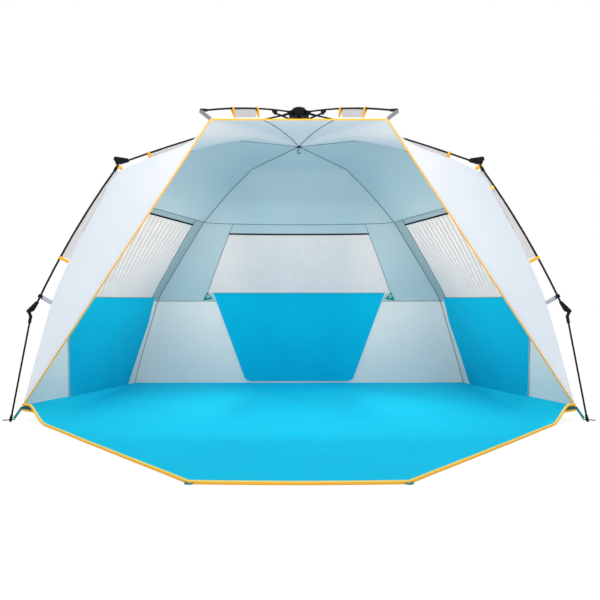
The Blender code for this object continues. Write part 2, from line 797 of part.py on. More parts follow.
def window_columns(row, left, right, height, limits):
    """The row's four columns: the panel's edges and the window's two sides, as shares between them."""
    share = (height - limits["sill"]) / (limits["head"] - limits["sill"])
    start = limits["start"] + share * (limits["top_start"] - limits["start"])
    end = limits["end"] + share * (limits["top_end"] - limits["end"])
    return [lerp(left[row], right[row], s) for s in (0.0, start, end, 1.0)]


def window_wall(name, left, right, outward, limits):
    """A window wall with its hole, and the net that fills the hole."""
    rows = [window_columns(r, left, right, h, limits) for r, h in enumerate(window_heights)]
    inside = [r for r, h in enumerate(window_heights) if limits["sill"] <= h <= limits["head"]]
    skip = {(r, 1) for r in inside[:-1]}
    grid_panel(f"window_wall_{name}", rows, outward, wall_grey, skip)
    grid_panel(f"window_net_{name}", [rows[r][1:3] for r in inside], outward, net_grey)
    return rows[inside[-1]][1], rows[inside[-1]][2]


def across(left, right, start, end, columns):
    """Points between two ridge points, from one share of the way to another."""
    return [lerp(left, right, start + (end - start) * k / columns) for k in range(columns + 1)]


def window_cover(name, top_a, top_b, left, right, top_shares, low_shares, inward):
    """A cover that hangs down inside the wall, about the middle of its hinge line."""
    inward = inward.normalized()
    hem = inward * (cloth + seat_gap)
    off = inward * (cloth + cover_stand_off)
    rows = [[p + hem for p in across(top_a, top_b, 0.0, 1.0, cover_columns)]]
    for n, share in enumerate(cover_row_shares):
        into = max(0.0, (share - 1 + cover_round_share) / cover_round_share)
        drawn = cover_round_across_share * (1 - math.sqrt(max(0.0, 1 - into * into)))
        start = top_shares[0] + share * (low_shares[0] - top_shares[0]) + drawn
        end = top_shares[1] + share * (low_shares[1] - top_shares[1]) - drawn
        rows.append([p + off for p in across(left[n], right[n], start, end, cover_columns)])
    middle = (rows[0][0] + rows[0][-1]) / 2
    return grid_panel(f"window_cover_{name}", rows, -inward, cyan_cloth, (), None, middle)


def make_side(side):
    hand = hands[side]
    side_ridge = {k: both(v, side) for k, v in ridges["side"].items()}
    rear_ridge = {k: both(v, side) for k, v in ridges["rear"].items()}
    roof = [list(pair) for pair in zip(rear_ridge["roof"], side_ridge["roof"])]
    grid_panel(f"roof_{side}", roof, toward((0.55, 0.20, 0.80), side), blue_grey)
    limits = {
        "sill": side_window_sill,
        "head": side_window_head,
        "start": side_window_start_share,
        "end": side_window_end_share,
        "top_start": side_window_top_start_share,
        "top_end": side_window_top_end_share,
    }
    outward = toward((0.85, 0.25, 0.45), side)
    low_outward = toward((0.97, 0.18, 0.15), side)
    top_a, top_b = window_wall(side, rear_ridge["window"], side_ridge["window"], outward, limits)
    low = [across(a, b, 0.0, 1.0, wall_columns) for a, b in zip(rear_ridge["low"], side_ridge["low"])]
    grid_panel(f"lower_wall_{side}", low, low_outward, wall_grey)
    top_shares = (side_window_start_share, side_window_end_share)
    low_shares = (side_cover_foot_start_share, side_cover_foot_end_share)
    window_cover(side, top_a, top_b, rear_ridge["cover"], side_ridge["cover"], top_shares, low_shares, -low_outward)
    # the wing runs from the side leg's ridge forward to the opening's edge
    ridge = side_ridge["roof"][3:] + side_ridge["window"][1:] + side_ridge["low"][1:]
    roof_corner = toward((roof_front_across, -roof_front_forward, roof_front_height), side)
    foot = ridge[-1]
    lengths = [0.0]
    for a, b in zip(ridge, ridge[1:]):
        lengths.append(lengths[-1] + (b - a).length)
    edge = [lerp(roof_corner, foot, n / lengths[-1]) for n in lengths]
    wing = [[a, b] for a, b in zip(ridge, edge)]
    grid_panel(f"wing_{side}", wing, toward((0.62, -0.62, 0.48), side), pale_fly)


def make_back():
    left, right = ({k: both(v, side) for k, v in ridges["rear"].items()} for side in ("left", "right"))
    roof = [list(pair) for pair in zip(left["roof"], right["roof"])]
    grid_panel("roof_back", roof, (0.0, 0.62, 0.78), blue_grey)
    low_half = at_height(rear_line, back_window_sill)[0] * math.cos(legs["rear"]["azimuth"])
    high_half = at_height(rear_line, back_window_head)[0] * math.cos(legs["rear"]["azimuth"])
    low_share = back_window_across_low / low_half / 2
    high_share = back_window_across_high / high_half / 2
    limits = {
        "sill": back_window_sill,
        "head": back_window_head,
        "start": 0.5 - low_share,
        "end": 0.5 + low_share,
        "top_start": 0.5 - high_share,
        "top_end": 0.5 + high_share,
    }
    window_wall("back", left["window"], right["window"], (0.0, 0.86, 0.50), limits)
    low = [list(pair) for pair in zip(left["low"], right["low"])]
    low_outward = Vector((0.0, 0.96, 0.27))
    grid_panel("lower_wall_back", low, low_outward, wall_grey)
    sill = [side["window"][window_heights.index(back_window_sill)] for side in (left, right)]
    low_end = left["cover"][-1].x
    top_shares = (0.5 - back_cover_across / low_half / 2, 0.5 + back_cover_across / low_half / 2)
    low_shares = (0.5 + back_cover_across_low / low_end / 2, 0.5 - back_cover_across_low / low_end / 2)
    top_a, top_b = (lerp(sill[0], sill[1], s) for s in top_shares)
    window_cover("back", top_a, top_b, left["cover"], right["cover"], top_shares, low_shares, -low_outward)


def make_roof_front():
    right = ridges["side"]["roof"][1:4]
    corner = Vector((roof_front_across, -roof_front_forward, roof_front_height))
    seam = Vector((roof_seam_across, -roof_front_forward, roof_front_height))
    half = [*right, corner, seam]
    points = [peak] + half + mirrored(half)
    faces = [[0, 5, 10]]
    for first, turn in ((1, 1), (6, -1)):
        r1, r2, r3, c, s = range(first, first + 5)
        for face in ([0, r1, s], [r1, r2, s], [r2, c, s], [r2, r3, c]):
            faces.append(face[::turn])
    loop = [0, 1, 2, 3, 4, 5, 10, 9, 8, 7, 6]
    cloth_panel("roof_front", points, faces, loop, (0.0, 0.0, 1.0), roof_grey)


def make_floor():
    back = stand([(rear_corner_reach, 0.0)], rear_azimuth())[0]
    corner = stand([(side_corner_reach, side_corner_height)], side_azimuth())[0]
    front = Vector((front_corner_across, -front_corner_forward, 0.0))
    half = [back, corner, front]
    points = half + mirrored(half)
    faces = [[3, 0, 2, 5], [0, 1, 2], [3, 5, 4]]
    cloth_panel("floor", points, faces, [0, 1, 2, 5, 4, 3], (0.0, 0.0, 1.0), cyan_cloth)
    nose = Vector((porch_front_across, -front_corner_forward - porch_depth, 0.0))
    half = [front, nose]
    points = half + mirrored(half)
    hinge = Vector((0.0, -front_corner_forward, cloth))
    cloth_panel("porch", points, [[0, 1, 3, 2]], [0, 1, 3, 2], (0.0, 0.0, 1.0), cyan_cloth, None, hinge)


def make_hub_strap_and_hook():
    top = hub_height - lower_hub_drop - lower_hub_thickness / 2 - seat_gap
    side_rise = (side_line[1][1] - ceiling_height) / side_line[1][0]
    rear_rise = (rear_line[1][1] - ceiling_height) / (rear_line[1][0] * math.sin(legs["rear"]["azimuth"]))
    front_rise = (roof_front_height - ceiling_height) / roof_front_forward
    steepest_rise = max(side_rise, rear_rise, front_rise, 0.0)
    steepest_fall = max(-side_rise, -rear_rise, -front_rise, 0.0)
    low = ceiling_height + cloth + steepest_rise * hub_strap_width / 2 + seat_gap
    half = hub_strap_width / 2
    outline = [(-half, low - top), (half, low - top), (half, 0.0), (-half, 0.0)]
    strap = plate(outline, -strap_thickness / 2, strap_thickness / 2)
    node("hub_strap", strap, pale_fly, None, (0.0, 0.0, top))
    patch_top = ceiling_height - steepest_fall * hook_patch_radius - seat_gap
    profile = [(0, 0), (hook_patch_radius, 0), (hook_patch_radius, -hook_patch_thickness), (0, -hook_patch_thickness)]
    node("hook_patch", turned(profile, 24), black_plastic, None, (0.0, 0.0, patch_top))
    pivot = patch_top - hook_patch_thickness - seat_gap - hook_wire_radius
    stem = hook_radius * 1.4
    path = [(0.0, 0.0, hook_wire_radius), (0.0, 0.0, hook_wire_radius * 0.6), (0.0, 0.0, 0.0), (0.0, 0.0, -stem)]
    radii = [hook_wire_radius * 0.1, hook_wire_radius * 0.8, hook_wire_radius, hook_wire_radius]
    turns = 10
    for k in range(1, turns + 1):
        angle = math.radians(90 + 250 * k / turns)
        path.append((hook_radius * math.cos(angle), 0.0, -stem - hook_radius + hook_radius * math.sin(angle)))
        radii.append(hook_wire_radius)
    node("ceiling_hook", sweep(path, radii, 8), black_plastic, None, (0.0, 0.0, pivot))


def make_corner_strap(side):
    """The strap and pin that hold the tent's front corner to the side leg's foot."""
    plane = frame_empties[f"side_plane_{side}"]
    foot_reach = legs["side"]["foot"][0]
    top = (side_corner_reach + strap_lead, side_corner_height)
    low = (foot_reach - foot_radius - strap_lead, foot_hole_height + corner_pin_radius)
    way = direction(top, low)
    half = strap_thickness / 2
    strip = [along(top, left_of(way), half), along(top, left_of(way), -half)]
    strip += [along(low, left_of(way), -half), along(low, left_of(way), half)]
    strap = plate(relative(strip, top), -strap_width / 2, strap_width / 2)
    pin = sweep(
        [(low[0] - top[0] - corner_pin_radius, 0, foot_hole_height - top[1]),
         (foot_reach + corner_pin_length - top[0], 0, foot_hole_height - top[1])],
        [corner_pin_radius] * 2,
        12,
    )
    node(f"corner_strap_{side}", combine(strap, [pin], "UNION"), teal_web, plane, (top[0], 0, top[1]))


make_hubs()
for side in hands:
    make_front_arm(side)
    for kind in legs:
        make_leg(kind, side)
    make_side(side)
    make_corner_strap(side)
make_back()
make_roof_front()
make_floor()
make_hub_strap_and_hook()
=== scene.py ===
# Beach tent: cloth, trim, finishes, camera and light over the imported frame
from math import acos, atan2, cos, hypot, pi, radians, sin, sqrt

import bmesh
import bpy
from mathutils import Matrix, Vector, noise


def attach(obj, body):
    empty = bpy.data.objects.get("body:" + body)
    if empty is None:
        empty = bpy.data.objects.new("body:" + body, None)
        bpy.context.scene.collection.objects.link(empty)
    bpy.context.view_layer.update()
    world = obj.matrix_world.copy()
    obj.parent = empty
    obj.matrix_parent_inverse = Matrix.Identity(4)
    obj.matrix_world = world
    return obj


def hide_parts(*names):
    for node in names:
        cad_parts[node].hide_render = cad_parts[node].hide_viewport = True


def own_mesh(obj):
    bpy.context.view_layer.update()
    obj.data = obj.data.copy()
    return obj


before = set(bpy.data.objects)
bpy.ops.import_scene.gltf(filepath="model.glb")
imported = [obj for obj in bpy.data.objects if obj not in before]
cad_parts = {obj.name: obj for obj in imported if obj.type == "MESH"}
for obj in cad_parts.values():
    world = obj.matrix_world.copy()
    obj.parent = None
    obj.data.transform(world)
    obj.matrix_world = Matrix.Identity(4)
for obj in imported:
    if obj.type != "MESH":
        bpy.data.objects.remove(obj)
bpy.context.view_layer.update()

# the frame's places, as (reach from the hub's axis, height)
poles = {
    "hub": (0.038, 1.440),
    "tip": (0.6466, 1.306),
    "side": {"foot": (1.226, -0.440), "elbow": (0.858, 1.132), "knee": (1.220, 0.4655)},
    "rear": {"foot": (1.060, 0.828), "elbow": (0.665, 1.005), "knee": (1.105, 0.530)},
    "front": {"foot": (0.410, -0.500)},
    "armBow": 0.012,
    "middleBow": 0.014,
    "tangentStep": 0.02,
}

# the cloth's places
shell = {
    "peak": 1.277, "tieDrop": 0.042, "tieShare": 0.72, "armDrop": {"side": 0.014, "rear": 0.0},
    "kneeGap": {"side": 0.070, "rear": 0.040}, "corner": {"side": (1.254, 0.064), "rear": (1.300, 0.0012)},
    "ridgeBow": {"side": 0.022, "rear": 0.006}, "lowerBow": 0.006, "lowerSteps": {"side": 1, "rear": 4},
    "firstTie": {"side": (0.3735, 1.2818), "rear": (0.317, 1.204)}, "tautSteps": 24, "fineSteps": 136, "fallsFrom": 20,
    "seamHigh": 0.954, "seamLow": 0.511, "seamRise": {"side": 0.034, "rear": 0.0}, "seamDip": 0.014,
    "roofCorner": (0.3605, -0.550, 1.252), "frontSeam": 0.149, "groundCorner": (1.027, -0.554, 0.0),
    "porchNose": (0.309, -1.343, 0.0), "thickness": 0.0009,
}

hands = ("right", 1), ("left", -1)


def azimuth(kind):
    x, y = poles[kind]["foot"]
    return atan2(y, x)


def stand(point, kind, hand=1):  # a (reach, height) point in space
    a = azimuth(kind)
    return Vector((point[0] * cos(a) * hand, point[0] * sin(a), point[1]))


def mirrored(point, hand):
    return Vector((point[0] * hand, point[1], point[2]))


def lift(height):
    return Vector((0, 0, height))


def lerp(a, b, t):
    return a + (b - a) * t


def even(steps):  # evenly spaced shares from 0 to 1
    return [k / steps for k in range(steps + 1)]


def shareList(marks, steps):  # shares with extra steps between the marks
    shares = [marks[0]]
    for a, b, n in zip(marks, marks[1:], steps):
        shares += [a + (b - a) * k / n for k in range(1, n + 1)]
    return shares


def smooth(points, t):  # a point of a smooth line through the points, t from 0 to 1
    span = t * (len(points) - 1)
    k = min(int(span), len(points) - 2)
    s = span - k
    p1, p2 = Vector(points[k]), Vector(points[k + 1])
    p0 = Vector(points[k - 1]) if k else 2 * p1 - p2
    p3 = Vector(points[k + 2]) if k + 2 < len(points) else 2 * p2 - p1
    a = 2 * p1
    b = (p2 - p0) * s
    c = (2 * p0 - 5 * p1 + 4 * p2 - p3) * s * s
    d = (3 * p1 - p0 - 3 * p2 + p3) * s ** 3
    return (a + b + c + d) / 2


def bowed(start, end, bow, t):
    x, z = end[0] - start[0], end[1] - start[1]
    size = hypot(x, z)
    rise = 4 * bow * t * (1 - t)
    return (start[0] + t * x - rise * z / size, start[1] + t * z + rise * x / size)


def ridgeLine(kind):
    elbow, knee = poles[kind]["elbow"], poles[kind]["knee"]
    hub, drop, share = poles["hub"], shell["tieDrop"], shell["tieShare"]
    t = (share * elbow[0] - hub[0]) / (elbow[0] - hub[0])
    pole = hub[1] + (elbow[1] - hub[1]) * t + 4 * poles["armBow"] * t * (1 - t)
    top, low = (elbow[0], elbow[1] - drop), (knee[0] - shell["kneeGap"][kind], knee[1])
    tie = shell["firstTie"][kind]
    line = [tie, (share * elbow[0], pole - drop - shell["armDrop"][kind])]
    line += [bowed(top, low, shell["ridgeBow"][kind], t) for t in even(4)]
    line += [bowed(low, shell["corner"][kind], shell["lowerBow"], t) for t in even(shell["lowerSteps"][kind])[1:]]
    steps = shell["tautSteps"]
    taut = [(tie[0] * k / steps, shell["peak"] + (tie[1] - shell["peak"]) * k / steps) for k in range(steps)]
    fine = [smooth([(x, z, 0) for x, z in line], t) for t in even(shell["fineSteps"])]
    return taut + [(p.x, p.y) for p in fine]


ridges = {"side": ridgeLine("side"), "rear": ridgeLine("rear")}


def atHeight(kind, height):
    line = ridges[kind][shell["fallsFrom"]:]
    for a, b in zip(line, line[1:]):
        if a[1] >= height >= b[1]:
            t = (a[1] - height) / max(1e-9, a[1] - b[1])
            return (a[0] + t * (b[0] - a[0]), height)
    return line[-1] if height < line[-1][1] else line[0]


def backHalf(height):  # half the back wall's width at a height
    return atHeight("rear", height)[0] * cos(azimuth("rear"))


def atReach(kind, reach, beyond):
    line = ridges[kind]
    for a, b in zip(line, line[1:]):
        if a[0] <= reach <= b[0]:
            s = (reach - a[0]) / max(1e-9, b[0] - a[0])
            return (reach, a[1] + s * (b[1] - a[1]))
    return beyond


def roofLine(kind, t):  # from the peak to the high seam, by reach
    end = atHeight(kind, shell["seamHigh"] + shell["seamRise"][kind])
    return atReach(kind, t * end[0], end)


def sideTop(t):  # the side ridge from the peak to the elbow
    return atReach("side", t * poles["side"]["elbow"][0], ridges["side"][-1])


def seamDip(share):  # how far the high seam hangs below its ends
    return shell["seamDip"] * sqrt(max(0.0, 4 * share * (1 - share)))


def lowLine(kind, t):  # from the low seam to the floor
    foot = shell["corner"][kind][1]
    return atHeight(kind, shell["seamLow"] + t * (foot - shell["seamLow"]))


def polePoint(kind, part, t, hand=1):
    elbow = poles[kind].get("elbow", poles["tip"])
    ends = (poles["hub"], elbow, poles["armBow"]) if part == "arm" else (elbow, poles[kind]["knee"], poles["middleBow"])
    return stand(bowed(*ends, t), kind, hand)


def poleTangent(kind, part, t, hand):
    step = poles["tangentStep"]
    return (polePoint(kind, part, t + step, hand) - polePoint(kind, part, t - step, hand)).normalized()


def nearestRidge(kind, hand, p):
    return min((stand(q, kind, hand) for q in ridges[kind]), key=lambda q: (q - p).length)


print("stage: finishes")
waveScale = 0.314  # a wave texture's scale times the pitch of its bands in metres


def paint(code):  # a hex colour as linear values
    parts = [int(code[k:k + 2], 16) / 255 for k in (1, 3, 5)]
    return [c / 12.92 if c <= 0.04045 else ((c + 0.055) / 1.055) ** 2.4 for c in parts] + [1.0]


def scaled(colour, factor, more=0.0):
    return [min(1.0, c * factor + more) for c in colour[:3]] + [1.0]


def setInputs(tree, node, values):  # a value is a constant, or a socket to link
    for key, value in values.items():
        socket = node.inputs[key]
        if isinstance(value, bpy.types.NodeSocket):
            tree.links.new(value, socket)
        else:
            socket.default_value = value


def addNode(tree, kind, **values):
    node = tree.nodes.new(kind)
    sockets = {}
    for key, value in values.items():
        if hasattr(node, key):
            setattr(node, key, value)
        else:
            sockets[key.replace("_", " ")] = value
    setInputs(tree, node, sockets)
    return node


def newMaterial(name):
    material = bpy.data.materials.new(name)
    material.use_nodes = True
    return material, material.node_tree, material.node_tree.nodes["Principled BSDF"]


def made(tree, kind, output, inputs={}, **values):  # an output of a new node
    node = addNode(tree, kind, **values)
    setInputs(tree, node, inputs)
    return node.outputs[output]


def waveBands(tree, way, pitch):  # bands one pitch apart along the UV map
    values = {"wave_type": "BANDS", "bands_direction": way, "Scale": waveScale / pitch}
    return made(tree, "ShaderNodeTexWave", "Fac", Vector=made(tree, "ShaderNodeUVMap", "UV"), **values)


def noiseCloud(tree, **values):
    return made(tree, "ShaderNodeTexNoise", "Fac", Vector=made(tree, "ShaderNodeTexCoord", "Object"), **values)


def combined(tree, operation, a, b):
    return made(tree, "ShaderNodeMath", 0, {0: a, 1: b}, operation=operation)


def mapped(tree, value, **limits):
    return made(tree, "ShaderNodeMapRange", "Result", Value=value, **limits)


def shadeRamp(tree, along, low, high, start=0.0, end=1.0):
    ramp = addNode(tree, "ShaderNodeValToRGB", Fac=along)
    for element, colour, position in zip(ramp.color_ramp.elements, (low, high), (start, end)):
        element.position = position
        element.color = colour
    return ramp.outputs["Color"]


def darkened(tree, factor, colour, pattern):
    inputs = {0: factor, 6: colour, 7: pattern}
    return made(tree, "ShaderNodeMix", 2, inputs, data_type="RGBA", blend_type="MULTIPLY")


def bumped(tree, height, strength, distance, **others):
    return made(tree, "ShaderNodeBump", "Normal", Height=height, Strength=strength, Distance=distance, **others)


def mixShaders(tree, factor, a, b):
    return made(tree, "ShaderNodeMixShader", 0, {0: factor, 1: a.outputs[0], 2: b.outputs[0]})


def clothFinish(name, code, weave=0.0016, depth=0.25, tint=0.04, rough=0.85, creases=0.35, uneven=2.4):
    material, tree, shader = newMaterial(name)
    threads = combined(tree, "MULTIPLY", waveBands(tree, "X", weave), waveBands(tree, "Y", weave))
    cloud = noiseCloud(tree, Scale=uneven, Detail=3.0, Roughness=0.5)
    crease = noiseCloud(tree, Scale=9.0, Detail=5.0, Roughness=0.62, Distortion=0.6)
    base = paint(code)
    shade = shadeRamp(tree, cloud, scaled(base, 1 - tint), scaled(base, 1 + tint * 0.6), 0.30, 0.72)
    setInputs(tree, shader, {
        "Base Color": darkened(tree, 0.10, shade, threads),
        "Roughness": mapped(tree, cloud, To_Min=rough - 0.08, To_Max=rough + 0.08),
        "Normal": bumped(tree, threads, depth, 0.0004, Normal=bumped(tree, crease, creases, 0.006)),
        "Specular IOR Level": 0.12,
    })
    return material


def netFinish(name, code, pitch, crossPitch, opening, through):  # open netting on its own UV map
    material, tree, shader = newMaterial(name)
    soft = 0.2  # how gradually a thread ends
    gaps = [
        mapped(tree, waveBands(tree, way, size), From_Min=1 - opening, From_Max=min(1.0, 1 - opening + soft))
        for way, size in (("X", pitch), ("Y", crossPitch))
    ]
    gap = combined(tree, "MULTIPLY", *gaps)
    base = paint(code)
    shade = shadeRamp(tree, noiseCloud(tree, Scale=14.0, Detail=2.0), scaled(base, 0.92), base)
    setInputs(tree, shader, {
        "Base Color": darkened(tree, 0.30, shade, gaps[0]),
        "Alpha": mapped(tree, gap, To_Min=1.0, To_Max=through),
        "Normal": bumped(tree, gap, 0.3, 0.0006, invert=True),
        "Roughness": 0.85,
        "Specular IOR Level": 0.1,
    })
    return material


def hardFinish(name, code, rough, grain=900.0, metallic=0.0):
    material, tree, shader = newMaterial(name)
    cloud = noiseCloud(tree, Scale=38.0, Detail=4.0, Roughness=0.6)
    base = paint(code)
    setInputs(tree, shader, {
        "Base Color": shadeRamp(tree, cloud, base, scaled(base, 1.25, 0.002), 0.35),
        "Roughness": mapped(tree, cloud, To_Min=rough - 0.1, To_Max=rough + 0.12),
        "Normal": bumped(tree, noiseCloud(tree, Scale=grain, Detail=2.0), 0.12, 0.0002),
        "Specular IOR Level": 0.2,
        "Metallic": metallic,
    })
    return material


thin = {"weave": 0.0010, "creases": 0.05}
webbing = {"tint": 0.06, "depth": 0.5, **thin}
finishes = {
    "fly": clothFinish("palePolyester", "#E6EEF7", tint=0.03, creases=0.25),
    "ceiling": clothFinish("blueGreyLining", "#B3C9D3"),
    # the front roof's lining: the roof lining painted paler than the ceiling, as painted light it catches from the
    # front
    "frontRoof": clothFinish("paintedLightFrontLining", "#E4E4EA", tint=0.03),
    "wall": clothFinish("paleGreyLining", "#E3E5E6"),
    "seam": clothFinish("seamTape", "#6A8490", weave=0.0012, creases=0.1),
    # band: the ceiling lining darkened, as painted shade on the side window surrounds
    "band": clothFinish("paintedShadeSurround", "#9DB2BC", creases=0.2),
    "floor": clothFinish("cyanGroundsheet", "#0FCAF2", weave=0.0022, rough=0.9, creases=0.3),
    # the floor's underside: the cyan floor darkened to teal, as painted shade
    "underside": clothFinish("paintedShadeUnderside", "#1B666C", weave=0.0022, tint=0.05),
    "cover": clothFinish("cyanCover", "#00B4DC", tint=0.05, rough=0.9, creases=0.5, uneven=4.0),
    # orange tape; along the porch and corner hems, the orange piping under the yellow trim is painted shadow
    "orange": clothFinish("orangeTapeAndHemShadow", "#F8B93C", weave=0.0012, creases=0.08),
    "teal": clothFinish("tealWebbing", "#1F8C98", **webbing),
    "lightGrey": clothFinish("lightWebbing", "#B9BCCA", **webbing),
    "grey": clothFinish("greyWebbing", "#85878F", **webbing),
    "dark": clothFinish("darkPiping", "#0D1012", tint=0.05, **thin),
    "pale": clothFinish("palePiping", "#DDE3E8", tint=0.03, **thin),
    "yellow": clothFinish("yellowTag", "#FBE273", **thin),
    "net": netFinish("windowNetting", "#F4EEF0", 0.0165, 0.006, 0.50, 0.42),
    "sideNet": netFinish("sideWindowNetting", "#F0EAEC", 0.034, 0.006, 0.50, 0.40),
    "strip": netFinish("edgeNetting", "#DCDADD", 0.0052, 0.0052, 0.60, 0.15),
    "rod": hardFinish("blackFibreglass", "#040405", 0.42),
    "plastic": hardFinish("blackMouldedPlastic", "#070708", 0.55),
    "metal": hardFinish("blackenedSteel", "#3A3B3D", 0.35, 1500.0, 0.9),
}

print("stage: carried-over frame")
for name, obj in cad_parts.items():
    rods = name.startswith(("upper_pole", "middle_pole", "lower_pole", "front_arm"))
    for materialSlot in obj.material_slots:
        materialSlot.material = finishes["rod" if rods else "plastic"]

print("stage: cloth")
pieces = {}


def makeObject(name, mesh, body, squashed=True):
    obj = bpy.data.objects.new(name, mesh)
    bpy.context.scene.collection.objects.link(obj)
    pieces[name] = (obj, squashed)
    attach(obj, body)
    return obj


def gridNormals(grid, across, down, turned):
    rows, columns = len(grid), len(grid[0])
    normals = {}
    for r in range(rows):
        for c in range(columns):
            a = grid[r][min(c + 1, columns - 1)] - grid[r][max(c - 1, 0)]
            b = grid[min(r + 1, rows - 1)][c] - grid[max(r - 1, 0)][c]
            n = a.cross(b)
            if n.length < 1e-12:
                n = across.cross(down)
            n.normalize()
            normals[r, c] = -n if turned else n
    return normals


def gridCoords(grid):  # a flat map in metres, centred on its middle column
    columns = len(grid[0])
    coords, along = {}, 0.0
    for r, row in enumerate(grid):
        if r:
            along += max((row[c] - grid[r - 1][c]).length for c in (0, columns // 2, columns - 1))
        wide = [0.0]
        for a, b in zip(row, row[1:]):
            wide.append(wide[-1] + (b - a).length)
        for c in range(columns):
            coords[r, c] = (wide[c] - wide[-1] / 2, along)
    return coords


def clothMesh(name, grid, outward, inside, outside, thickness=shell["thickness"], skip=None):
    rows, columns = len(grid), len(grid[0])
    across = grid[rows // 2][-1] - grid[rows // 2][0]
    down = grid[-1][columns // 2] - grid[0][columns // 2]
    turned = across.cross(down).dot(Vector(outward)) < 0
    normals, coords = gridNormals(grid, across, down, turned), gridCoords(grid)
    shape = bmesh.new()
    layer = shape.loops.layers.uv.new("UVMap")
    inner, outer = {}, {}
    for key in coords:
        point = grid[key[0]][key[1]]
        inner[key] = shape.verts.new(point)
        outer[key] = shape.verts.new(point + normals[key] * thickness)
    cells = [(r, c) for r in range(rows - 1) for c in range(columns - 1) if not (skip and skip(r, c))]
    present = set(cells)
    area = 0.0

    def addFace(keys, verts, index):
        face = shape.faces.new(verts)
        face.material_index = index
        face.smooth = True
        for loop, key in zip(face.loops, keys):
            loop[layer].uv = coords[key]

    for r, c in cells:
        corners = [(r, c), (r, c + 1), (r + 1, c + 1), (r + 1, c)]
        p0, p1, p2, p3 = (grid[y][x] for y, x in corners)
        area += (p1 - p0).cross(p2 - p0).length / 2
        area += (p2 - p0).cross(p3 - p0).length / 2
        keys = corners[::-1] if turned else corners
        addFace(keys, [outer[k] for k in keys], 1)
        addFace(keys[::-1], [inner[k] for k in keys[::-1]], 0)
        around = (r - 1, c), (r, c + 1), (r + 1, c), (r, c - 1)
        for a, b, beyond in zip(corners, corners[1:] + corners[:1], around):
            if beyond not in present:
                if turned:
                    a, b = b, a
                addFace([b, a, a, b], [outer[b], outer[a], inner[a], inner[b]], 1)
    bmesh.ops.remove_doubles(shape, verts=shape.verts, dist=0.00001)
    mesh = bpy.data.meshes.new(name)
    shape.to_mesh(mesh)
    shape.free()
    mesh.set_sharp_from_angle(angle=radians(40))
    mesh.materials.append(finishes[inside])
    mesh.materials.append(finishes[outside])
    return mesh, area


def makeSheet(
    name, grid, outward, lining, look, slot, size, rests, held="stretched", body="shell", stands=None, **others,
):
    mesh, area = clothMesh(name, grid, outward, lining, look, **others)
    obj = makeObject(name, mesh, body, body != "porch")
    if stands:
        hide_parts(stands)
    return obj


def span(row):
    return (row[-1] - row[0]).length


def ripple(p, size, scale, seed=0.0):
    return size * noise.noise(Vector((p[0], p[1], p[2])) * scale + Vector((seed, seed * 2, 0.0)))


def panelGrid(left, right, columns, rows, outward, sag, seed):
    out = Vector(outward).normalized()
    wrinkle, wrinkleScale = 0.0015, 7.0
    grid = []
    for t in rows:
        a, b = left(t), right(t)
        line = []
        for s in columns:
            hollow = 16 * s * (1 - s) * t * (1 - t)
            crease = ripple(lerp(a, b, s), wrinkle, wrinkleScale, seed) * min(1.0, hollow * 2)
            line.append(lerp(a, b, s) - out * sag * hollow + out * crease)
        grid.append(line)
    return grid


def ridgePanel(line, ends, settings, outward, seed):  # between two ridges
    left, right = (lambda t, end=end: stand(line(end[0], t), *end) for end in ends)
    return panelGrid(left, right, even(settings["columns"]), even(settings["rows"]), outward, settings["sag"], seed)


roof = {
    "columns": 28, "rows": 24, "sag": 0.006, "outward": (0.55, 0.2, 0.8), "backward": (0, 0.62, 0.78),
    "size": {"width": 0.80, "length": 0.98}, "backSize": {"width": 1.06, "length": 0.55}, "seeds": (3.0, 5.0),
    "dipPower": 3,
}
for side, hand in hands:
    outward = mirrored(roof["outward"], hand)
    grid = ridgePanel(roofLine, (("rear", hand), ("side", hand)), roof, outward, roof["seeds"][0] + hand)
    makeSheet(
        f"roofPanel_{side}", grid, outward, "ceiling", "fly", "ceiling", roof["size"], [f"upper_pole_side_{side}"],
        stands=f"roof_{side}",
    )
grid = ridgePanel(roofLine, (("rear", -1), ("rear", 1)), roof, roof["backward"], roof["seeds"][1])
for t, line in zip(even(roof["rows"]), grid):
    for share, p in zip(even(roof["columns"]), line):
        p.z -= seamDip(share) * t ** roof["dipPower"]
makeSheet(
    "roofPanel_back", grid, roof["backward"], "ceiling", "fly", "ceiling", roof["backSize"],
    ["upper_pole_rear_left", "upper_pole_rear_right"], stands="roof_back",
)

# the front roof fans out from the peak to the open edge
frontRoof = {
    "fan": 48, "rings": 22, "bow": 0.014, "dip": 0.17, "dipStart": 0.30, "edgeShare": 0.45, "ridgePower": 1.6,
    "size": {"width": 1.62, "length": 0.62},
}


def cornerDip(share):  # the cloth hangs in between the roof corner and the elbow
    return frontRoof["dip"] * share / (share + frontRoof["dipStart"]) * (1 - share) ** 2


def frontRoofPoint(fan, ring):
    hand = 1 if fan >= 0.5 else -1
    share = abs(fan - 0.5) * 2  # 0 in the middle, 1 on the side ridge
    split = frontRoof["edgeShare"]
    weight = max(0.0, share - split) / (1 - split)
    end = stand(sideTop(1.0), "side", hand)
    edge = lerp(mirrored(shell["roofCorner"], hand * min(1.0, share / split)), end, weight)
    peak = lift(shell["peak"])
    ridge = stand(sideTop(ring), "side", hand) - lerp(peak, end, ring)
    bow = frontRoof["bow"] * 4 * ring * (1 - ring) * (1 - weight)
    rise = lift(bow - cornerDip(weight) * ring ** 2)
    return lerp(peak, edge, ring) + ridge * weight ** frontRoof["ridgePower"] + rise


grid = [[frontRoofPoint(fan, ring) for fan in even(frontRoof["fan"])] for ring in even(frontRoof["rings"])]
# its lining is the paler front roof finish, which is painted light
makeSheet(
    "roofPanel_front", grid, (0, -0.2, 1), "frontRoof", "fly", "front_roof", frontRoof["size"],
    ["front_arm_left", "front_arm_right"], stands="roof_front",
)

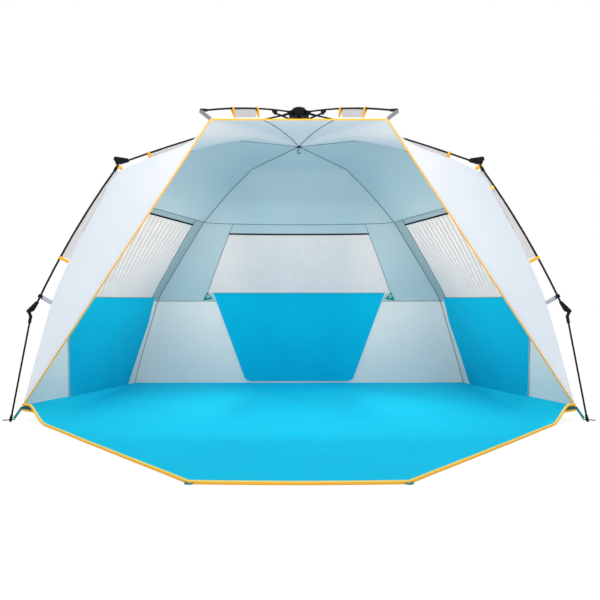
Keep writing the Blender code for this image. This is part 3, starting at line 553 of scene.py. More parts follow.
# walls with their windows
windows = {
    "side": {"head": 0.925, "sill": 0.530, "start": 0.090, "end": 0.80, "topStart": 0.105, "topEnd": 0.74},
    "back": {"head": 0.897, "sill": 0.559, "sillHalf": 0.546, "headHalf": 0.397},
    "rows": (2, 16, 2),
    "columns": (3, 26, 5),
    "netting": 0.0005,
    "netSpare": 1.15,
}
walls = {
    side: {
        "kind": "side", "a": ("rear", hand), "b": ("side", hand),
        "out": mirrored((0.85, 0.25, 0.45), hand), "low": mirrored((0.97, 0.18, 0.15), hand),
    } for side, hand in hands[::-1]
}
walls["back"] = {"kind": "back", "a": ("rear", -1), "b": ("rear", 1), "out": (0, 0.86, 0.5), "low": (0, 0.96, 0.27)}
lowWall = {"columns": 30, "rows": 16, "sag": 0.002, "spare": 1.02, "seed": 9.0}
for height, half, start, end in (("sill", "sillHalf", "start", "end"), ("head", "headHalf", "topStart", "topEnd")):
    limits = windows["back"]
    share = limits[half] / backHalf(limits[height]) / 2
    limits[start], limits[end] = 0.5 - share, 0.5 + share


def windowShares(limits, height):
    t = (height - limits["sill"]) / (limits["head"] - limits["sill"])
    return lerp(limits["start"], limits["topStart"], t), lerp(limits["end"], limits["topEnd"], t)


def wallPoint(wall, height, share):
    up = max(0.0, (height - shell["seamLow"]) / (shell["seamHigh"] - shell["seamLow"]))
    a = stand(atHeight(wall["a"][0], height), *wall["a"])
    b = stand(atHeight(wall["b"][0], height + up * shell["seamRise"][wall["b"][0]]), *wall["b"])
    dip = up * seamDip(share) if wall["kind"] == "back" else 0.0
    return lerp(a, b, share) - lift(dip)


top, left = windows["rows"][0], windows["columns"][0]
bottom, right = top + windows["rows"][1], left + windows["columns"][1]
for name, wall in walls.items():
    limits = windows[wall["kind"]]
    back = name == "back"
    grid = []
    for height in shareList([shell["seamHigh"], limits["head"], limits["sill"], shell["seamLow"]], windows["rows"]):
        shares = shareList([0.0, *windowShares(limits, height), 1.0], windows["columns"])
        grid.append([wallPoint(wall, height, s) for s in shares])
    pole = f"middle_pole_rear_{'left' if name == 'left' else 'right'}"
    # the side surrounds take the band lining, which is painted shade; the back surround takes the ceiling lining
    makeSheet(
        f"windowSurround_{name}", grid, wall["out"], "ceiling" if back else "band", "fly", "wall",
        {"width": span(grid[-1]), "spare": lowWall["spare"]}, [pole],
        stands=f"window_wall_{name}", skip=lambda r, c: top <= r < bottom and left <= c < right,
    )
    net = [row[left:right + 1] for row in grid[top:bottom + 1]]
    netting = "net" if back else "sideNet"
    makeSheet(
        f"windowNetting_{name}", net, wall["out"], netting, netting, "net",
        {"width": span(net[-1]), "spare": windows["netSpare"]}, [f"windowSurround_{name}"],
        stands=f"window_net_{name}", thickness=windows["netting"],
    )
    low = ridgePanel(lowLine, (wall["a"], wall["b"]), lowWall, wall["low"], lowWall["seed"])
    makeSheet(
        f"lowerPanel_{name}", low, wall["low"], "wall", "fly", "wall",
        {"width": span(low[-1]), "spare": lowWall["spare"]}, [f"windowSurround_{name}"], stands=f"lower_wall_{name}",
    )

# wings from the side legs to the open edge
wings = {
    "columns": 22, "rows": 44, "sag": 0.004, "outward": (0.62, -0.62, 0.48), "size": {"width": 0.53, "length": 1.48},
    "seed": 11.0, "dipPower": 6,
}
frontEdge = {}


def alongPath(path, t):
    lengths = [0.0]
    for a, b in zip(path, path[1:]):
        lengths.append(lengths[-1] + (b - a).length)
    want = t * lengths[-1]
    for k in range(len(lengths) - 1):
        if want <= lengths[k + 1] + 1e-9:
            return lerp(path[k], path[k + 1], (want - lengths[k]) / max(1e-9, lengths[k + 1] - lengths[k]))
    return path[-1]


columns, rows = even(wings["columns"]), even(wings["rows"])
for side, hand in hands:
    outward = mirrored(wings["outward"], hand)
    corner, foot = mirrored(shell["roofCorner"], hand), stand(shell["corner"]["side"], "side", hand)
    first = next(k for k, p in enumerate(ridges["side"]) if p[0] >= poles["side"]["elbow"][0])
    ridge = [stand(p, "side", hand) for p in ridges["side"][first:]]
    frontEdge[side] = [lerp(corner, foot, t) for t in rows]
    sides = lambda t: alongPath(ridge, t), lambda t: lerp(corner, foot, t)
    grid = panelGrid(*sides, columns, rows, outward, wings["sag"], wings["seed"])
    for t, row in zip(rows, grid):
        for s, p in zip(columns, row):
            p.z -= cornerDip(1 - s) * (1 - t) ** wings["dipPower"]
    makeSheet(
        f"frontWing_{side}", grid, outward, "wall", "fly", "fly", wings["size"],
        [f"upper_pole_side_{side}", f"middle_pole_side_{side}"], stands=f"wing_{side}",
    )

# floor and porch share one rippled surface, and the floor's front corners are lifted
ground = {
    "rows": 30, "columns": (7, 34, 7), "thickness": 0.0014, "gusset": 0.13, "turn": 0.86, "liftPower": 1.6,
    "swell": 0.005, "level": 0.28, "drop": 0.68, "height": 0.0004, "edgeRipple": 0.5,
    "wide": (0.0035, 2.6, 2.0), "fine": (0.001, 9.0, 5.0),
    "size": {"width": 2.37, "length": 1.36}, "porchSize": {"width": 2.06, "length": 0.79},
}
backCorner = stand((shell["corner"]["rear"][0], 0.0), "rear")
raised = stand(shell["corner"]["side"], "side")
frontCorner = Vector(shell["groundCorner"])
nose = Vector(shell["porchNose"])


def groundHeight(p):
    wide, fine = ripple((p.x, p.y, 0.0), *ground["wide"]), ripple((p.x, p.y, 1.0), *ground["fine"])
    return ground["height"] + abs(wide) + abs(fine)


def gussetEdge(t):  # the lifted edge runs level from the raised corner, then drops to the ground in an S
    p = lerp(raised, frontCorner, t)
    way = min(1.0, max(0.0, (t - ground["level"]) / ground["drop"]))
    fall = way * way * (3 - 2 * way)
    swell = ground["swell"] * sin(pi * min(1.0, t / 0.5))
    return Vector((p.x, p.y, raised.z * (1 - fall) + swell + ground["edgeRipple"] * groundHeight(p) * fall))


def floorEdge(t):
    turn = ground["turn"]
    return lerp(backCorner, raised, t / turn) if t <= turn else gussetEdge((t - turn) / (1 - turn))


fold = 1 - ground["gusset"]
shares = shareList([-1.0, -fold, fold, 1.0], ground["columns"])
grid = []
for t in even(ground["rows"]):
    edge = floorEdge(t)
    inner = lerp(backCorner, frontCorner, t)
    line = []
    for s in shares:
        up = max(0.0, (abs(s) - fold) / (1 - fold))
        p = lerp(Vector((inner.x * min(1.0, abs(s) / fold), inner.y, 0.0)), edge, up)
        p.z = edge.z * up ** ground["liftPower"]
        p.x *= 1 if s >= 0 else -1
        p.z += groundHeight(p) * (1 - up * ground["edgeRipple"])
        line.append(p)
    grid.append(line)
makeSheet(
    "groundSheet", grid, (0, 0, 1), "underside", "floor", "floor_cloth", ground["size"], ["lowerPanel_back"], "laid",
    stands="floor", thickness=ground["thickness"],
)

grid = []
for t in even(ground["rows"]):
    edge = lerp(frontCorner, nose, t)
    line = []
    for s in shares:
        p = Vector((edge.x * s, edge.y, 0.0))
        if t == 0:
            p.x = frontCorner.x * min(1.0, abs(s) / fold) * (1 if s > 0 else -1)
        p.z = groundHeight(p)
        line.append(p)
    grid.append(line)
makeSheet(
    "porchSheet", grid, (0, 0, 1), "underside", "floor", "floor_cloth", ground["porchSize"], ["groundSheet"], "laid",
    "porch", "porch", thickness=ground["thickness"],
)

# window covers hang down inside the low walls, and their rear edge is cut to clear the back wall when raised
covers = {
    "columns": 30, "rows": (24, 10), "thickness": 0.001, "spare": 1.1, "hem": 0.0022, "lift": 0.0034, "liftRate": 12,
    "wave": (0.006, 4.5, 7.0), "waveStart": 0.12, "waveEdge": 0.3, "waveMiddle": 2.8,
    "rearTrim": 0.080, "trimFrom": 0.3, "roundShare": 0.05, "roundAcross": 0.012, "rearRound": 0.3, "near": 0.001,
    "side": {"top": (0.060, 0.90), "low": (0.006, 0.675), "length": 0.997},
    "back": {"top": 0.513, "low": 0.332, "length": 0.975},
}
coverEdges = {}


def inside(wall, part, size=1.0):  # from the wall's cloth towards the room
    return -Vector(wall[part]).normalized() * size


def coverEnds(wall, sill, length):  # where the walls' two ridges are at this height
    ends = []
    for kind, hand in (wall["a"], wall["b"]):
        height = sill + length * (shell["corner"][kind][1] - sill)
        ends.append(stand(atHeight(kind, height), kind, hand))
    return ends


def coverShares(wall, cover, half, t):  # where the cover starts and ends along the wall
    into = max(0.0, (t - 1 + covers["roundShare"]) / covers["roundShare"])
    drawn = covers["roundAcross"] * (1 - sqrt(max(0.0, 1 - into * into)))
    if wall["kind"] == "back":
        share = lerp(cover["top"], cover["low"], t) / half / 2
        return 0.5 - share + drawn, 0.5 + share - drawn
    start, end = (lerp(top, low, t) for top, low in zip(cover["top"], cover["low"]))
    trim = covers["rearTrim"] * max(0.0, t - covers["trimFrom"]) / (1 - covers["trimFrom"])
    return start + drawn * covers["rearRound"] + trim, end - drawn


for name, wall in walls.items():
    cover = covers[wall["kind"]]
    inward = inside(wall, "low")
    grid = []
    for t in shareList([0.0, 1 - covers["roundShare"], 1.0], covers["rows"]):
        a, b = coverEnds(wall, windows[wall["kind"]]["sill"], t * cover["length"])
        start, end = coverShares(wall, cover, b.x, t)
        off = covers["hem"] + (covers["lift"] - covers["hem"]) * min(1.0, t * covers["liftRate"])
        swing = sin(pi * min(1.0, t + covers["waveStart"]))
        line = []
        for s in even(covers["columns"]):
            p = lerp(a, b, lerp(start, end, s))
            wave = abs(ripple(p, *covers["wave"])) * swing * (covers["waveEdge"] + covers["waveMiddle"] * s * (1 - s))
            line.append(p + inward * (off + wave))
        grid.append(line)
    makeSheet(
        f"coverPanel_{name}", grid, inward, "cover", "cover", "cover_cloth",
        {"width": span(grid[0]), "spare": covers["spare"]}, [f"windowNetting_{name}"], "hung", f"cover_{name}",
        f"window_cover_{name}", thickness=covers["thickness"],
    )
    near = inward * covers["near"]
    coverEdges[name] = {
        "coverZip": [[p + near for p in grid[0]]],
        "coverRim": [[p + near for p in grid[-1]]],
        "coverPiping": [[row[c] + near for row in grid] for c in (0, -1)],
    }

print("stage: tapes, piping and stitches")


def startTree(name, *sizes):  # a node group that makes something along a path of edges
    tree, ids = bpy.data.node_groups.new(name, "GeometryNodeTree"), {}
    for label, kind in (("Path", "Geometry"), *((size, "Float") for size in sizes), ("Finish", "Material")):
        socket = tree.interface.new_socket(name=label, in_out="INPUT", socket_type=f"NodeSocket{kind}")
        ids[label] = socket.identifier
    tree.interface.new_socket(name="Geometry", in_out="OUTPUT", socket_type="NodeSocketGeometry")
    given = addNode(tree, "NodeGroupInput").outputs
    return tree, ids, given, made(tree, "GeometryNodeMeshToCurve", "Curve", Mesh=given["Path"])


def endTree(tree, shape, finish):
    real = made(tree, "GeometryNodeRealizeInstances", 0, Geometry=shape)
    addNode(tree, "NodeGroupOutput", Geometry=made(tree, "GeometryNodeSetMaterial", 0, Geometry=real, Material=finish))


def pipingTree():
    tree, ids, given, curve = startTree("pipingAlongPath", "Radius", "Step")
    steady = made(tree, "GeometryNodeResampleCurve", "Curve", mode="LENGTH", Curve=curve, Length=given["Step"])
    ring = made(tree, "GeometryNodeCurvePrimitiveCircle", "Curve", Resolution=8, Radius=given["Radius"])
    solid = made(tree, "GeometryNodeCurveToMesh", "Mesh", Curve=steady, Profile_Curve=ring, Fill_Caps=True)
    endTree(tree, solid, given["Finish"])
    return tree, ids


def stitchTree():
    tree, ids, given, curve = startTree("stitchesAlongPath", "Pitch", "Length", "Thread")
    places = addNode(tree, "GeometryNodeCurveToPoints", mode="LENGTH", Curve=curve, Length=given["Pitch"]).outputs
    sizes = {"Vertices": 6, "Radius": given["Thread"], "Depth": given["Length"]}
    stitch = made(tree, "GeometryNodeMeshCylinder", "Mesh", **sizes)
    spots = {"Points": places["Points"], "Rotation": places["Rotation"]}
    copies = made(tree, "GeometryNodeInstanceOnPoints", "Instances", Instance=stitch, **spots)
    endTree(tree, copies, given["Finish"])
    return tree, ids


piping, stitching = pipingTree(), stitchTree()
stitches = {"Pitch": 0.007, "Length": 0.0045, "Thread": 0.0005}


def runTree(obj, group, values):
    tree, ids = group
    modifier = obj.modifiers.new("made", "NODES")
    modifier.node_group = tree
    for key, value in values.items():
        modifier[ids[key]] = value
    obj.update_tag()
    bpy.context.view_layer.update()
    result = bpy.data.meshes.new_from_object(obj.evaluated_get(bpy.context.evaluated_depsgraph_get()))
    obj.modifiers.remove(modifier)
    old = obj.data
    obj.data = result
    bpy.data.meshes.remove(old)


def pathMesh(name, paths):
    mesh = bpy.data.meshes.new(name)
    points, edges = [], []
    for path in paths:
        first = len(points)
        points += [tuple(p) for p in path]
        edges += [(first + k, first + k + 1) for k in range(len(path) - 1)]
    mesh.from_pydata(points, edges, [])
    return mesh


def addUv(mesh):  # a simple map in metres where a piece has none
    if not mesh.uv_layers:
        mesh.uv_layers.new(name="UVMap")
    layer = mesh.uv_layers[0]
    for loop in mesh.loops:
        co = mesh.vertices[loop.vertex_index].co
        layer.data[loop.index].uv = (co.x + co.y, co.z + co.y)
    for polygon in mesh.polygons:
        polygon.use_smooth = True


def makeAlong(name, paths, group, values, finish, body):
    obj = makeObject(name, pathMesh(name, paths), body, body != "porch")
    runTree(obj, group, {**values, "Finish": finishes[finish]})
    addUv(obj.data)


def makePiping(name, paths, radius, finish, body="shell", step=0.012):
    makeAlong(name, paths, piping, {"Radius": radius, "Step": step}, finish, body)


def joinMeshes(name, meshes, finish):
    shape = bmesh.new()
    for mesh in meshes:
        shape.from_mesh(mesh)
        bpy.data.meshes.remove(mesh)
    mesh = bpy.data.meshes.new(name)
    shape.to_mesh(mesh)
    shape.free()
    mesh.materials.append(finishes[finish])
    return makeObject(name, mesh, "shell")


# seams inside: along the legs, round the walls at two heights, and on the front roof
seams = {
    "level": 0.0016, "front": 0.0018, "stand": 0.0010, "steps": 20,
    "legs": (("rear", (-0.62, -0.62, -0.2), None, 0.0024), ("side", (-0.3, 0.1, -0.9), 100, 0.0018)),
}
for side, hand in hands:
    for kind, way, end, radius in seams["legs"]:
        off = mirrored(way, hand).normalized() * seams["stand"]
        line = [stand(p, kind, hand) + off for p in ridges[kind][:end:2]]
        makePiping(f"{kind}Seam_{side}", [line], radius, "seam")
for label, height in (("high", shell["seamHigh"]), ("low", shell["seamLow"])):
    paths = []
    for wall in walls.values():
        off = inside(wall, "out", seams["stand"])
        paths.append([wallPoint(wall, height, t) + off for t in even(seams["steps"])])
    makePiping(f"levelSeam_{label}", paths, seams["level"], "seam")
paths = []
for side, hand in hands:
    fan = 0.5 + hand * 0.5 * frontRoof["edgeShare"] * shell["frontSeam"] / shell["roofCorner"][0]
    paths.append([frontRoofPoint(fan, t) - lift(seams["stand"]) for t in even(seams["steps"])])
makePiping("frontRoofSeams", paths, seams["front"], "seam")

# window zips and rims
trims = {
    "stand": 0.0015, "zip": 0.0042, "zipRise": 0.004, "zipSteps": 16, "rim": 0.0013, "rimSteps": 12,
    "coverZip": 0.0013, "coverRim": 0.0012, "coverPiping": 0.0014,
}
paths, rims = [], []
for name, wall in walls.items():
    limits = windows[wall["kind"]]
    off = inside(wall, "out", trims["stand"])
    start, end = windowShares(limits, limits["head"])
    height = limits["head"] + trims["zipRise"]
    paths.append([wallPoint(wall, height, lerp(start, end, t)) + off for t in even(trims["zipSteps"])])
    heights = [lerp(limits["sill"], shell["seamHigh"], t) for t in even(trims["rimSteps"])]
    for edge in (0, 1):
        rims.append([wallPoint(wall, height, windowShares(limits, height)[edge]) + off for height in heights])
makePiping("windowZips", paths, trims["zip"], "dark")
makePiping("windowRims", rims, trims["rim"], "seam")
for name, edges in coverEdges.items():
    for kind, finish in (("coverZip", "teal"), ("coverRim", "cover"), ("coverPiping", "pale")):
        makePiping(f"{kind}_{name}", edges[kind], trims[kind], finish, f"cover_{name}")

# orange edging round the opening, and its stitches
edging = {
    "radius": 0.0036, "porch": 0.0050, "seat": 0.0040, "trim": 0.0042, "trimOff": (0, 0.001, 0.0026), "bow": 0.010,
    "stitchOff": (0.012, 0.001, 0.002), "stitchWay": (0.4, -0.62, 0.3), "stitchStand": 0.0016,
    "steps": 20, "porchSteps": 24, "frontSteps": 12, "gussetSteps": 16,
}


def trimmedEdge(name, side, path, body="shell"):
    # the hem is yellow: the orange piping that shows below and outside the raised yellow trim is painted shadow
    makePiping(f"{name}Edging{side}", [path], edging["porch"], "orange", body)
    trim = [p + Vector(edging["trimOff"]) for p in path]
    makePiping(f"{name}Trim{side}", [trim], edging["trim"], "yellow", body)


roofEdge = [frontRoofPoint(0.5 + 0.5 * frontRoof["edgeShare"] * (t * 2 - 1), 1.0) for t in even(edging["steps"])]
opening = frontEdge["left"][::-1] + roofEdge[1:-1] + frontEdge["right"]
makePiping("openingEdging", [opening], edging["radius"], "orange")
for side, hand in hands:
    off = mirrored(edging["stitchOff"], hand) + mirrored(edging["stitchWay"], hand).normalized() * edging["stitchStand"]
    path = [p + off for p in frontEdge[side][1:-1]]
    makeAlong(f"edgeStitches_{side}", [path], stitching, stitches, "pale", "shell")
porchRim = [lerp(frontCorner, nose, t) for t in even(edging["porchSteps"])]
left = [Vector((-p.x, p.y, groundHeight(p))) for p in porchRim]
right = [Vector((p.x, p.y, groundHeight(p))) for p in porchRim[::-1]]
front = [
    lerp(left[-1], right[0], t) - Vector((0, edging["bow"] * sin(pi * t), 0))
    for t in even(edging["frontSteps"])
]
trimmedEdge("porch", "", [p + lift(edging["seat"]) for p in left + front[1:-1] + right], "porch")

# the floor's underside shows under each lifted corner, over its own orange band; its dark teal is painted shade
underside = {
    "rows": 6, "columns": 4, "drop": 0.006, "top": (0, 0.004, -0.004), "start": (0, -0.004, -0.010),
    "end": (0.001, 0, -0.003), "thickness": 0.0008, "width": 0.09, "spare": 1.05, "band": 0.0042,
}
for side, hand in hands:
    gusset = [gussetEdge(t) for t in even(edging["gussetSteps"])]
    gusset = [mirrored(p + lift(edging["seat"] + ground["edgeRipple"] * groundHeight(p)), hand) for p in gusset]
    trimmedEdge("gusset", f"_{side}", gusset)
    corner = mirrored(raised, hand) - lift(underside["drop"])
    middle = edging["gussetSteps"] // 2
    under = []
    for t in even(underside["rows"]):
        high = gusset[round(t * middle)] + Vector(underside["top"])
        low = lerp(corner + Vector(underside["start"]), gusset[middle] + mirrored(underside["end"], hand), t)
        under.append([lerp(high, low, s) for s in even(underside["columns"])])
    makeSheet(
        f"cornerUnderside_{side}", under, (0, -1, -0.2), "underside", "underside", "floor_cloth", underside,
        ["groundSheet"], thickness=underside["thickness"],
    )
    makePiping(f"cornerBand_{side}", [[row[-1] for row in under]], underside["band"], "orange")

print("stage: ties, straps and clips")
ties = {
    "width": 0.013, "radius": 0.0062, "thickness": 0.0011, "tail": 0.0004, "turns": 14, "front": (0.4325, 0.69),
    "frontEnd": (-0.006, 0, -0.040),
    "places": (
        ("side", "arm", 0.84), ("side", "middle", 0.02), ("side", "middle", 0.655),
        ("rear", "arm", 0.80), ("rear", "middle", 0.06), ("rear", "middle", 0.66),
    ),
}
strips = {
    "steps": 18, "columns": 4, "stand": 0.12, "thickness": 0.0005, "outward": (0, -1, 0.2),
    "width": 0.04, "spare": 1.05,
    "frontSteps": 10, "frontGap": 0.012, "frontTop": 0.005, "frontDrop": 0.036,
    "places": (
        ("side", "arm", 0.58, 0.835), ("side", "middle", 0.03, 0.645),
        ("rear", "arm", 0.55, 0.79), ("rear", "middle", 0.07, 0.65),
    ),
}


def plainCloth(grid, outward, thickness):  # cloth without a finish, to be joined with more
    mesh, area = clothMesh("band", grid, outward, "orange", "orange", thickness)
    mesh.materials.clear()
    return mesh, area


def tieMesh(pole, cloth, along, width=ties["width"], radius=ties["radius"], thickness=ties["thickness"]):
    way = cloth - pole
    way -= along * way.dot(along)
    reach = way.length
    way.normalize()
    side = along.cross(way).normalized()
    lean = acos(min(1.0, radius / reach))
    outline = [pole + way * reach]
    for t in even(ties["turns"]):
        angle = lean + (2 * pi - 2 * lean) * t
        outline.append(pole + way * radius * cos(angle) + side * radius * sin(angle))
    outline.append(pole + way * reach - side * ties["tail"])
    return plainCloth([[p + along * width * (s - 0.5) for s in even(2)] for p in outline], way, thickness)[0]


for side, hand in hands:
    bands = []
    for kind, part, t in ties["places"]:
        pole = polePoint(kind, part, t, hand)
        bands.append(tieMesh(pole, nearestRidge(kind, hand, pole), poleTangent(kind, part, t, hand)))
    for t in ties["front"]:
        pole = polePoint("front", "arm", t, hand)
        bands.append(tieMesh(pole, pole + mirrored(ties["frontEnd"], hand), poleTangent("front", "arm", t, hand)))
    joinMeshes(f"poleTies_{side}", bands, "orange")

# netting between the poles and the cloth
for side, hand in hands:
    grids = []
    for kind, part, first, last in strips["places"]:
        grid = []
        for t in even(strips["steps"]):
            pole = polePoint(kind, part, lerp(first, last, t), hand)
            cloth = nearestRidge(kind, hand, pole)
            start = lerp(pole, cloth, strips["stand"])
            grid.append([lerp(start, cloth, s) for s in even(strips["columns"])])
        grids.append(grid)
    grid = []
    first, last = ties["front"][0] + strips["frontGap"], ties["front"][1] - strips["frontGap"]
    for t in even(strips["frontSteps"]):
        pole = polePoint("front", "arm", lerp(first, last, t), hand)
        drops = [strips["frontTop"] + strips["frontDrop"] * s for s in even(strips["columns"])]
        grid.append([pole - lift(drop) for drop in drops])
    cut = [plainCloth(g, strips["outward"], strips["thickness"]) for g in (*grids, grid)]
    obj = joinMeshes(f"poleNetting_{side}", [mesh for mesh, area in cut], "strip")

straps = {
    "lift": 0.0012, "thickness": 0.0008, "corner": 0.016, "cornerEnds": (-0.004, 0.002),
    "knee": 0.018, "kneeHeight": 0.504, "kneeShare": 0.2, "clipShare": 0.900, "clipEnd": 0.32, "clipWidth": 0.015,
    "clip": 0.0062, "clipThickness": 0.002, "tab": 0.016, "tabShare": 0.175, "tabLength": 0.018, "tabOut": 0.5,
    "tabForward": (0.006, 0.011), "across": (-0.5, -0.17, 0.17, 0.5), "steps": 8,
    "hub": 0.025, "hubEnds": (1.3807, 1.2815), "foot": 0.011, "footEnds": ((1.256, 0.060), (1.288, 0.0125)),
    "pin": 0.0022, "pinEnds": ((1.284, 0.008), (1.334, 0.008)),
}


def strapBetween(name, a, b, width, finish, slot="webbing", body="shell", stands=None):
    ahead = (b - a).normalized()
    across = (b - a).cross(Vector((0, 1, 0))).normalized()  # its flat side faces the front
    up = ahead.cross(across).normalized()
    sides = [across * width * s + up * straps["lift"] for s in straps["across"]]
    grid = [[lerp(a, b, t) + side for side in sides] for t in even(straps["steps"])]
    mesh = clothMesh(name, grid, up, finish, finish, straps["thickness"])[0]
    obj = makeObject(name, mesh, body, body == "shell")
    if stands:
        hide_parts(stands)


tab = polePoint("side", "middle", straps["tabShare"])
tabEnd = nearestRidge("side", 1, tab)
starts, ends = (Vector((0, forward, 0)) for forward in straps["tabForward"])
tabStart = lerp(tab, tabEnd, straps["tabOut"]) - starts
tabEnd = tabEnd + (tabEnd - tab).normalized() * straps["tabLength"] - ends
strapBetween("poleTab", tabStart, tabEnd, straps["tab"], "yellow", "fly")
for side, hand in hands:
    tip, corner = stand(poles["tip"], "front", hand), mirrored(shell["roofCorner"], hand)
    tipRise, cornerRise = straps["cornerEnds"]
    strapBetween(f"cornerWebbing_{side}", tip + lift(tipRise), corner + lift(cornerRise), straps["corner"], "grey")
    pole = polePoint("side", "middle", straps["clipShare"], hand)
    cloth = stand(atHeight("side", straps["kneeHeight"]), "side", hand)
    strapBetween(f"kneeWebbing_{side}", lerp(pole, cloth, straps["kneeShare"]), cloth, straps["knee"], "lightGrey")
    tangent = poleTangent("side", "middle", straps["clipShare"], hand)
    sizes = straps["clipWidth"], straps["clip"], straps["clipThickness"]
    clip = tieMesh(pole, lerp(pole, cloth, straps["clipEnd"]), tangent, *sizes)
    joinMeshes(f"kneeClip_{side}", [clip], "plastic")

# hub strap, foot straps, pins, rings and small loops
strapBetween("hubWebbing", *map(lift, straps["hubEnds"]), straps["hub"], "fly", "fly", "lower_hub", "hub_strap")
rings = {
    "corner": {"at": (1.255, 0.056), "half": (0.0045, 0.0045), "forward": 0.004, "radius": 0.0016, "step": 0.002},
    "porch": {"half": (0.011, 0.009), "forward": 0.004, "height": 0.0042, "radius": 0.0024, "step": 0.004},
    "pull": {"half": (0.0055, 0.0085), "forward": 0.0035, "radius": 0.0018, "step": 0.003},
    "steps": 20,
}


def makeRings(name, ring, centres, finish, body="shell", up=(0, 0, 1)):
    wide, high = ring["half"]
    starts = [centre - Vector((0, ring["forward"], 0)) for centre in centres]
    turns = [2 * pi * t for t in even(rings["steps"])]
    paths = [[start + Vector((wide * cos(a), 0, 0)) + Vector(up) * high * sin(a) for a in turns] for start in starts]
    makePiping(name, paths, ring["radius"], finish, body, ring["step"])


for side, hand in hands:
    top, low = (stand(p, "side", hand) for p in straps["footEnds"])
    strapBetween(f"footWebbing_{side}", top, low, straps["foot"], "teal", stands=f"corner_strap_{side}")
    pin = [stand(p, "side", hand) for p in straps["pinEnds"]]
    makePiping(f"footPin_{side}", [pin], straps["pin"], "metal", step=0.004)
    makeRings(f"cornerRing_{side}", rings["corner"], [stand(rings["corner"]["at"], "side", hand)], "metal")
noses = [Vector((nose.x * hand, nose.y, rings["porch"]["height"])) for side, hand in hands]
makeRings("porchLoops", rings["porch"], noses, "teal", "porch", (0, 1, 0))

# teal gussets with a zip pull at the back window's low corners
tabs = {
    "outer": (0.575, 0.5145), "top": (0.549, 0.564), "inner": (0.516, 0.523), "off": 0.0024, "point": 0.02,
    "rows": 5, "columns": 4, "thickness": 0.0009, "size": {"width": 0.06, "length": 0.05}, "across": 0.55, "up": 0.45,
}
for side, hand in hands:
    places = {}
    for key in ("outer", "top", "inner"):
        x, z = tabs[key]
        places[key] = wallPoint(walls["back"], z, 0.5 + hand * x / backHalf(z) / 2) - Vector((0, tabs["off"], 0))
    grid = []
    for t in even(tabs["rows"]):
        down = lerp(tabs["point"], 1.0, t)
        a, b = lerp(places["top"], places["outer"], down), lerp(places["top"], places["inner"], down)
        grid.append([lerp(a, b, s) for s in even(tabs["columns"])])
    makeSheet(
        f"windowGusset_{side}", grid, (0, -1, 0), "teal", "teal", "wall", tabs["size"], ["windowSurround_back"],
        thickness=tabs["thickness"],
    )
    pull = lerp(lerp(places["outer"], places["inner"], tabs["across"]), places["top"], tabs["up"])
    makeRings(f"zipPull_{side}", rings["pull"], [pull], "pale")

print("stage: camera and light")
scene = bpy.context.scene
scene.view_settings.view_transform = "Standard"
camera = bpy.data.objects.new("camera", bpy.data.cameras.new("camera"))
camera.data.lens = 37.56
camera.data.sensor_width = 36.0
camera.data.shift_x = 1 / 600
camera.location = (0.0, -3.1, 0.517)
camera.rotation_euler = (radians(90), 0, 0)
scene.collection.objects.link(camera)
scene.camera = camera

plainLight, warmLight = (1.0, 1.0, 1.0), (1.0, 0.76, 0.55)  # the warm ones balance what the cyan floor throws back
lights = {  # kind, place, aim, size, energy and tone
    "front": ("SUN", (0.0, -4.0, 1.9), (0, 0, 0.6), 1.2, 1.16, plainLight),
    "behind": ("SUN", (0.0, 4.0, 2.6), (0, 0, 0.6), 1.2, 0.6, plainLight),
    "top": ("AREA", (0.0, -1.6, 3.4), (0, -0.5, 0), 3.0, 42.0, plainLight),
    "upFill": ("AREA", (0.0, -0.25, 0.10), (0, -0.25, 2.0), 1.3, 3.4, warmLight),
    "downFill": ("AREA", (0.0, -0.15, 1.06), (0, -0.15, 0), 0.8, 2.0, plainLight),
    "backFill": ("AREA", (0.0, -0.80, 0.80), (0, 1.0, 0.72), 1.1, 4.8, warmLight),
    "leftFill": ("AREA", (-0.30, 0.0, 0.50), (-1.2, 0.10, 0.42), 0.6, 2.3, warmLight),
    "rightFill": ("AREA", (0.30, 0.0, 0.50), (1.2, 0.10, 0.42), 0.6, 2.3, warmLight),
}
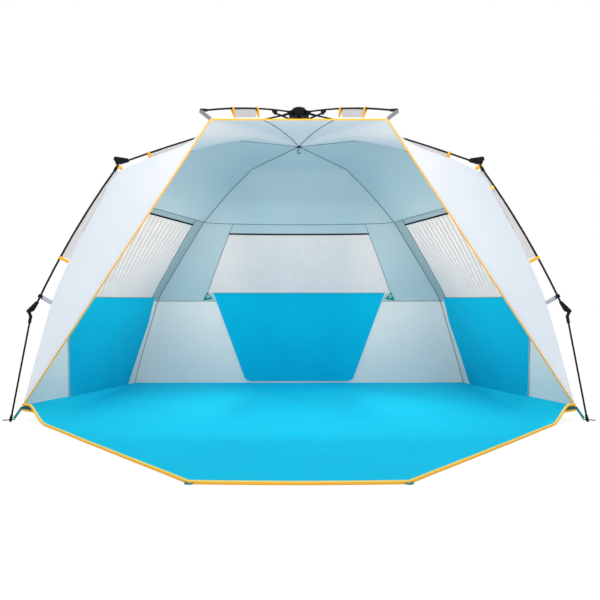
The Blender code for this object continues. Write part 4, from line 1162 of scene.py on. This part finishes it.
for name, (kind, place, aim, size, energy, tone) in lights.items():
    lamp = bpy.data.lights.new(name, kind)
    if kind == "SUN":
        lamp.angle = size
    else:
        lamp.size = size
    lamp.energy = energy
    lamp.color = tone
    obj = bpy.data.objects.new(name, lamp)
    obj.location = place
    obj.rotation_euler = (Vector(aim) - Vector(place)).to_track_quat("-Z", "Y").to_euler()
    obj.visible_camera = False
    obj.visible_glossy = False
    scene.collection.objects.link(obj)

white = (1.0, 1.0, 1.0, 1.0)
world = bpy.data.worlds.new("studio")
world.use_nodes = True
scene.world = world
tree = world.node_tree
tree.nodes.clear()
around = addNode(tree, "ShaderNodeBackground", Color=(0.97, 0.985, 1.0, 1.0), Strength=0.50)
backdrop = addNode(tree, "ShaderNodeBackground", Color=white, Strength=1.0)
rays = addNode(tree, "ShaderNodeLightPath").outputs
straight = combined(tree, "MAXIMUM", rays["Is Camera Ray"], rays["Is Glossy Ray"])
straight = combined(tree, "MAXIMUM", straight, rays["Is Transmission Ray"])
addNode(tree, "ShaderNodeOutputWorld", Surface=mixShaders(tree, straight, around, backdrop))

# a paper floor that glows a little for the camera
studio = {"near": (-14, -9), "far": (14, 16), "height": -0.0006, "tone": (0.92, 0.92, 0.92, 1.0), "share": 0.78}
(x0, y0), (x1, y1), z = studio["near"], studio["far"], studio["height"]
floorMesh = bpy.data.meshes.new("studioFloor")
floorMesh.from_pydata([(x0, y0, z), (x1, y0, z), (x1, y1, z), (x0, y1, z)], [], [(0, 1, 2, 3)])
floorObject = bpy.data.objects.new("studioFloor", floorMesh)
scene.collection.objects.link(floorObject)
paper, tree, shader = newMaterial("studioPaper")
setInputs(tree, shader, {"Base Color": studio["tone"], "Roughness": 0.9})
glow = addNode(tree, "ShaderNodeEmission", Color=white, Strength=1.12)
seen = addNode(tree, "ShaderNodeLightPath").outputs["Is Camera Ray"]
shown = mixShaders(tree, combined(tree, "MULTIPLY", seen, studio["share"]), shader, glow)
setInputs(tree, tree.nodes["Material Output"], {"Surface": shown})
floorMesh.materials.append(paper)

for obj, squashed in pieces.values():
    if squashed:
        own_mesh(obj)
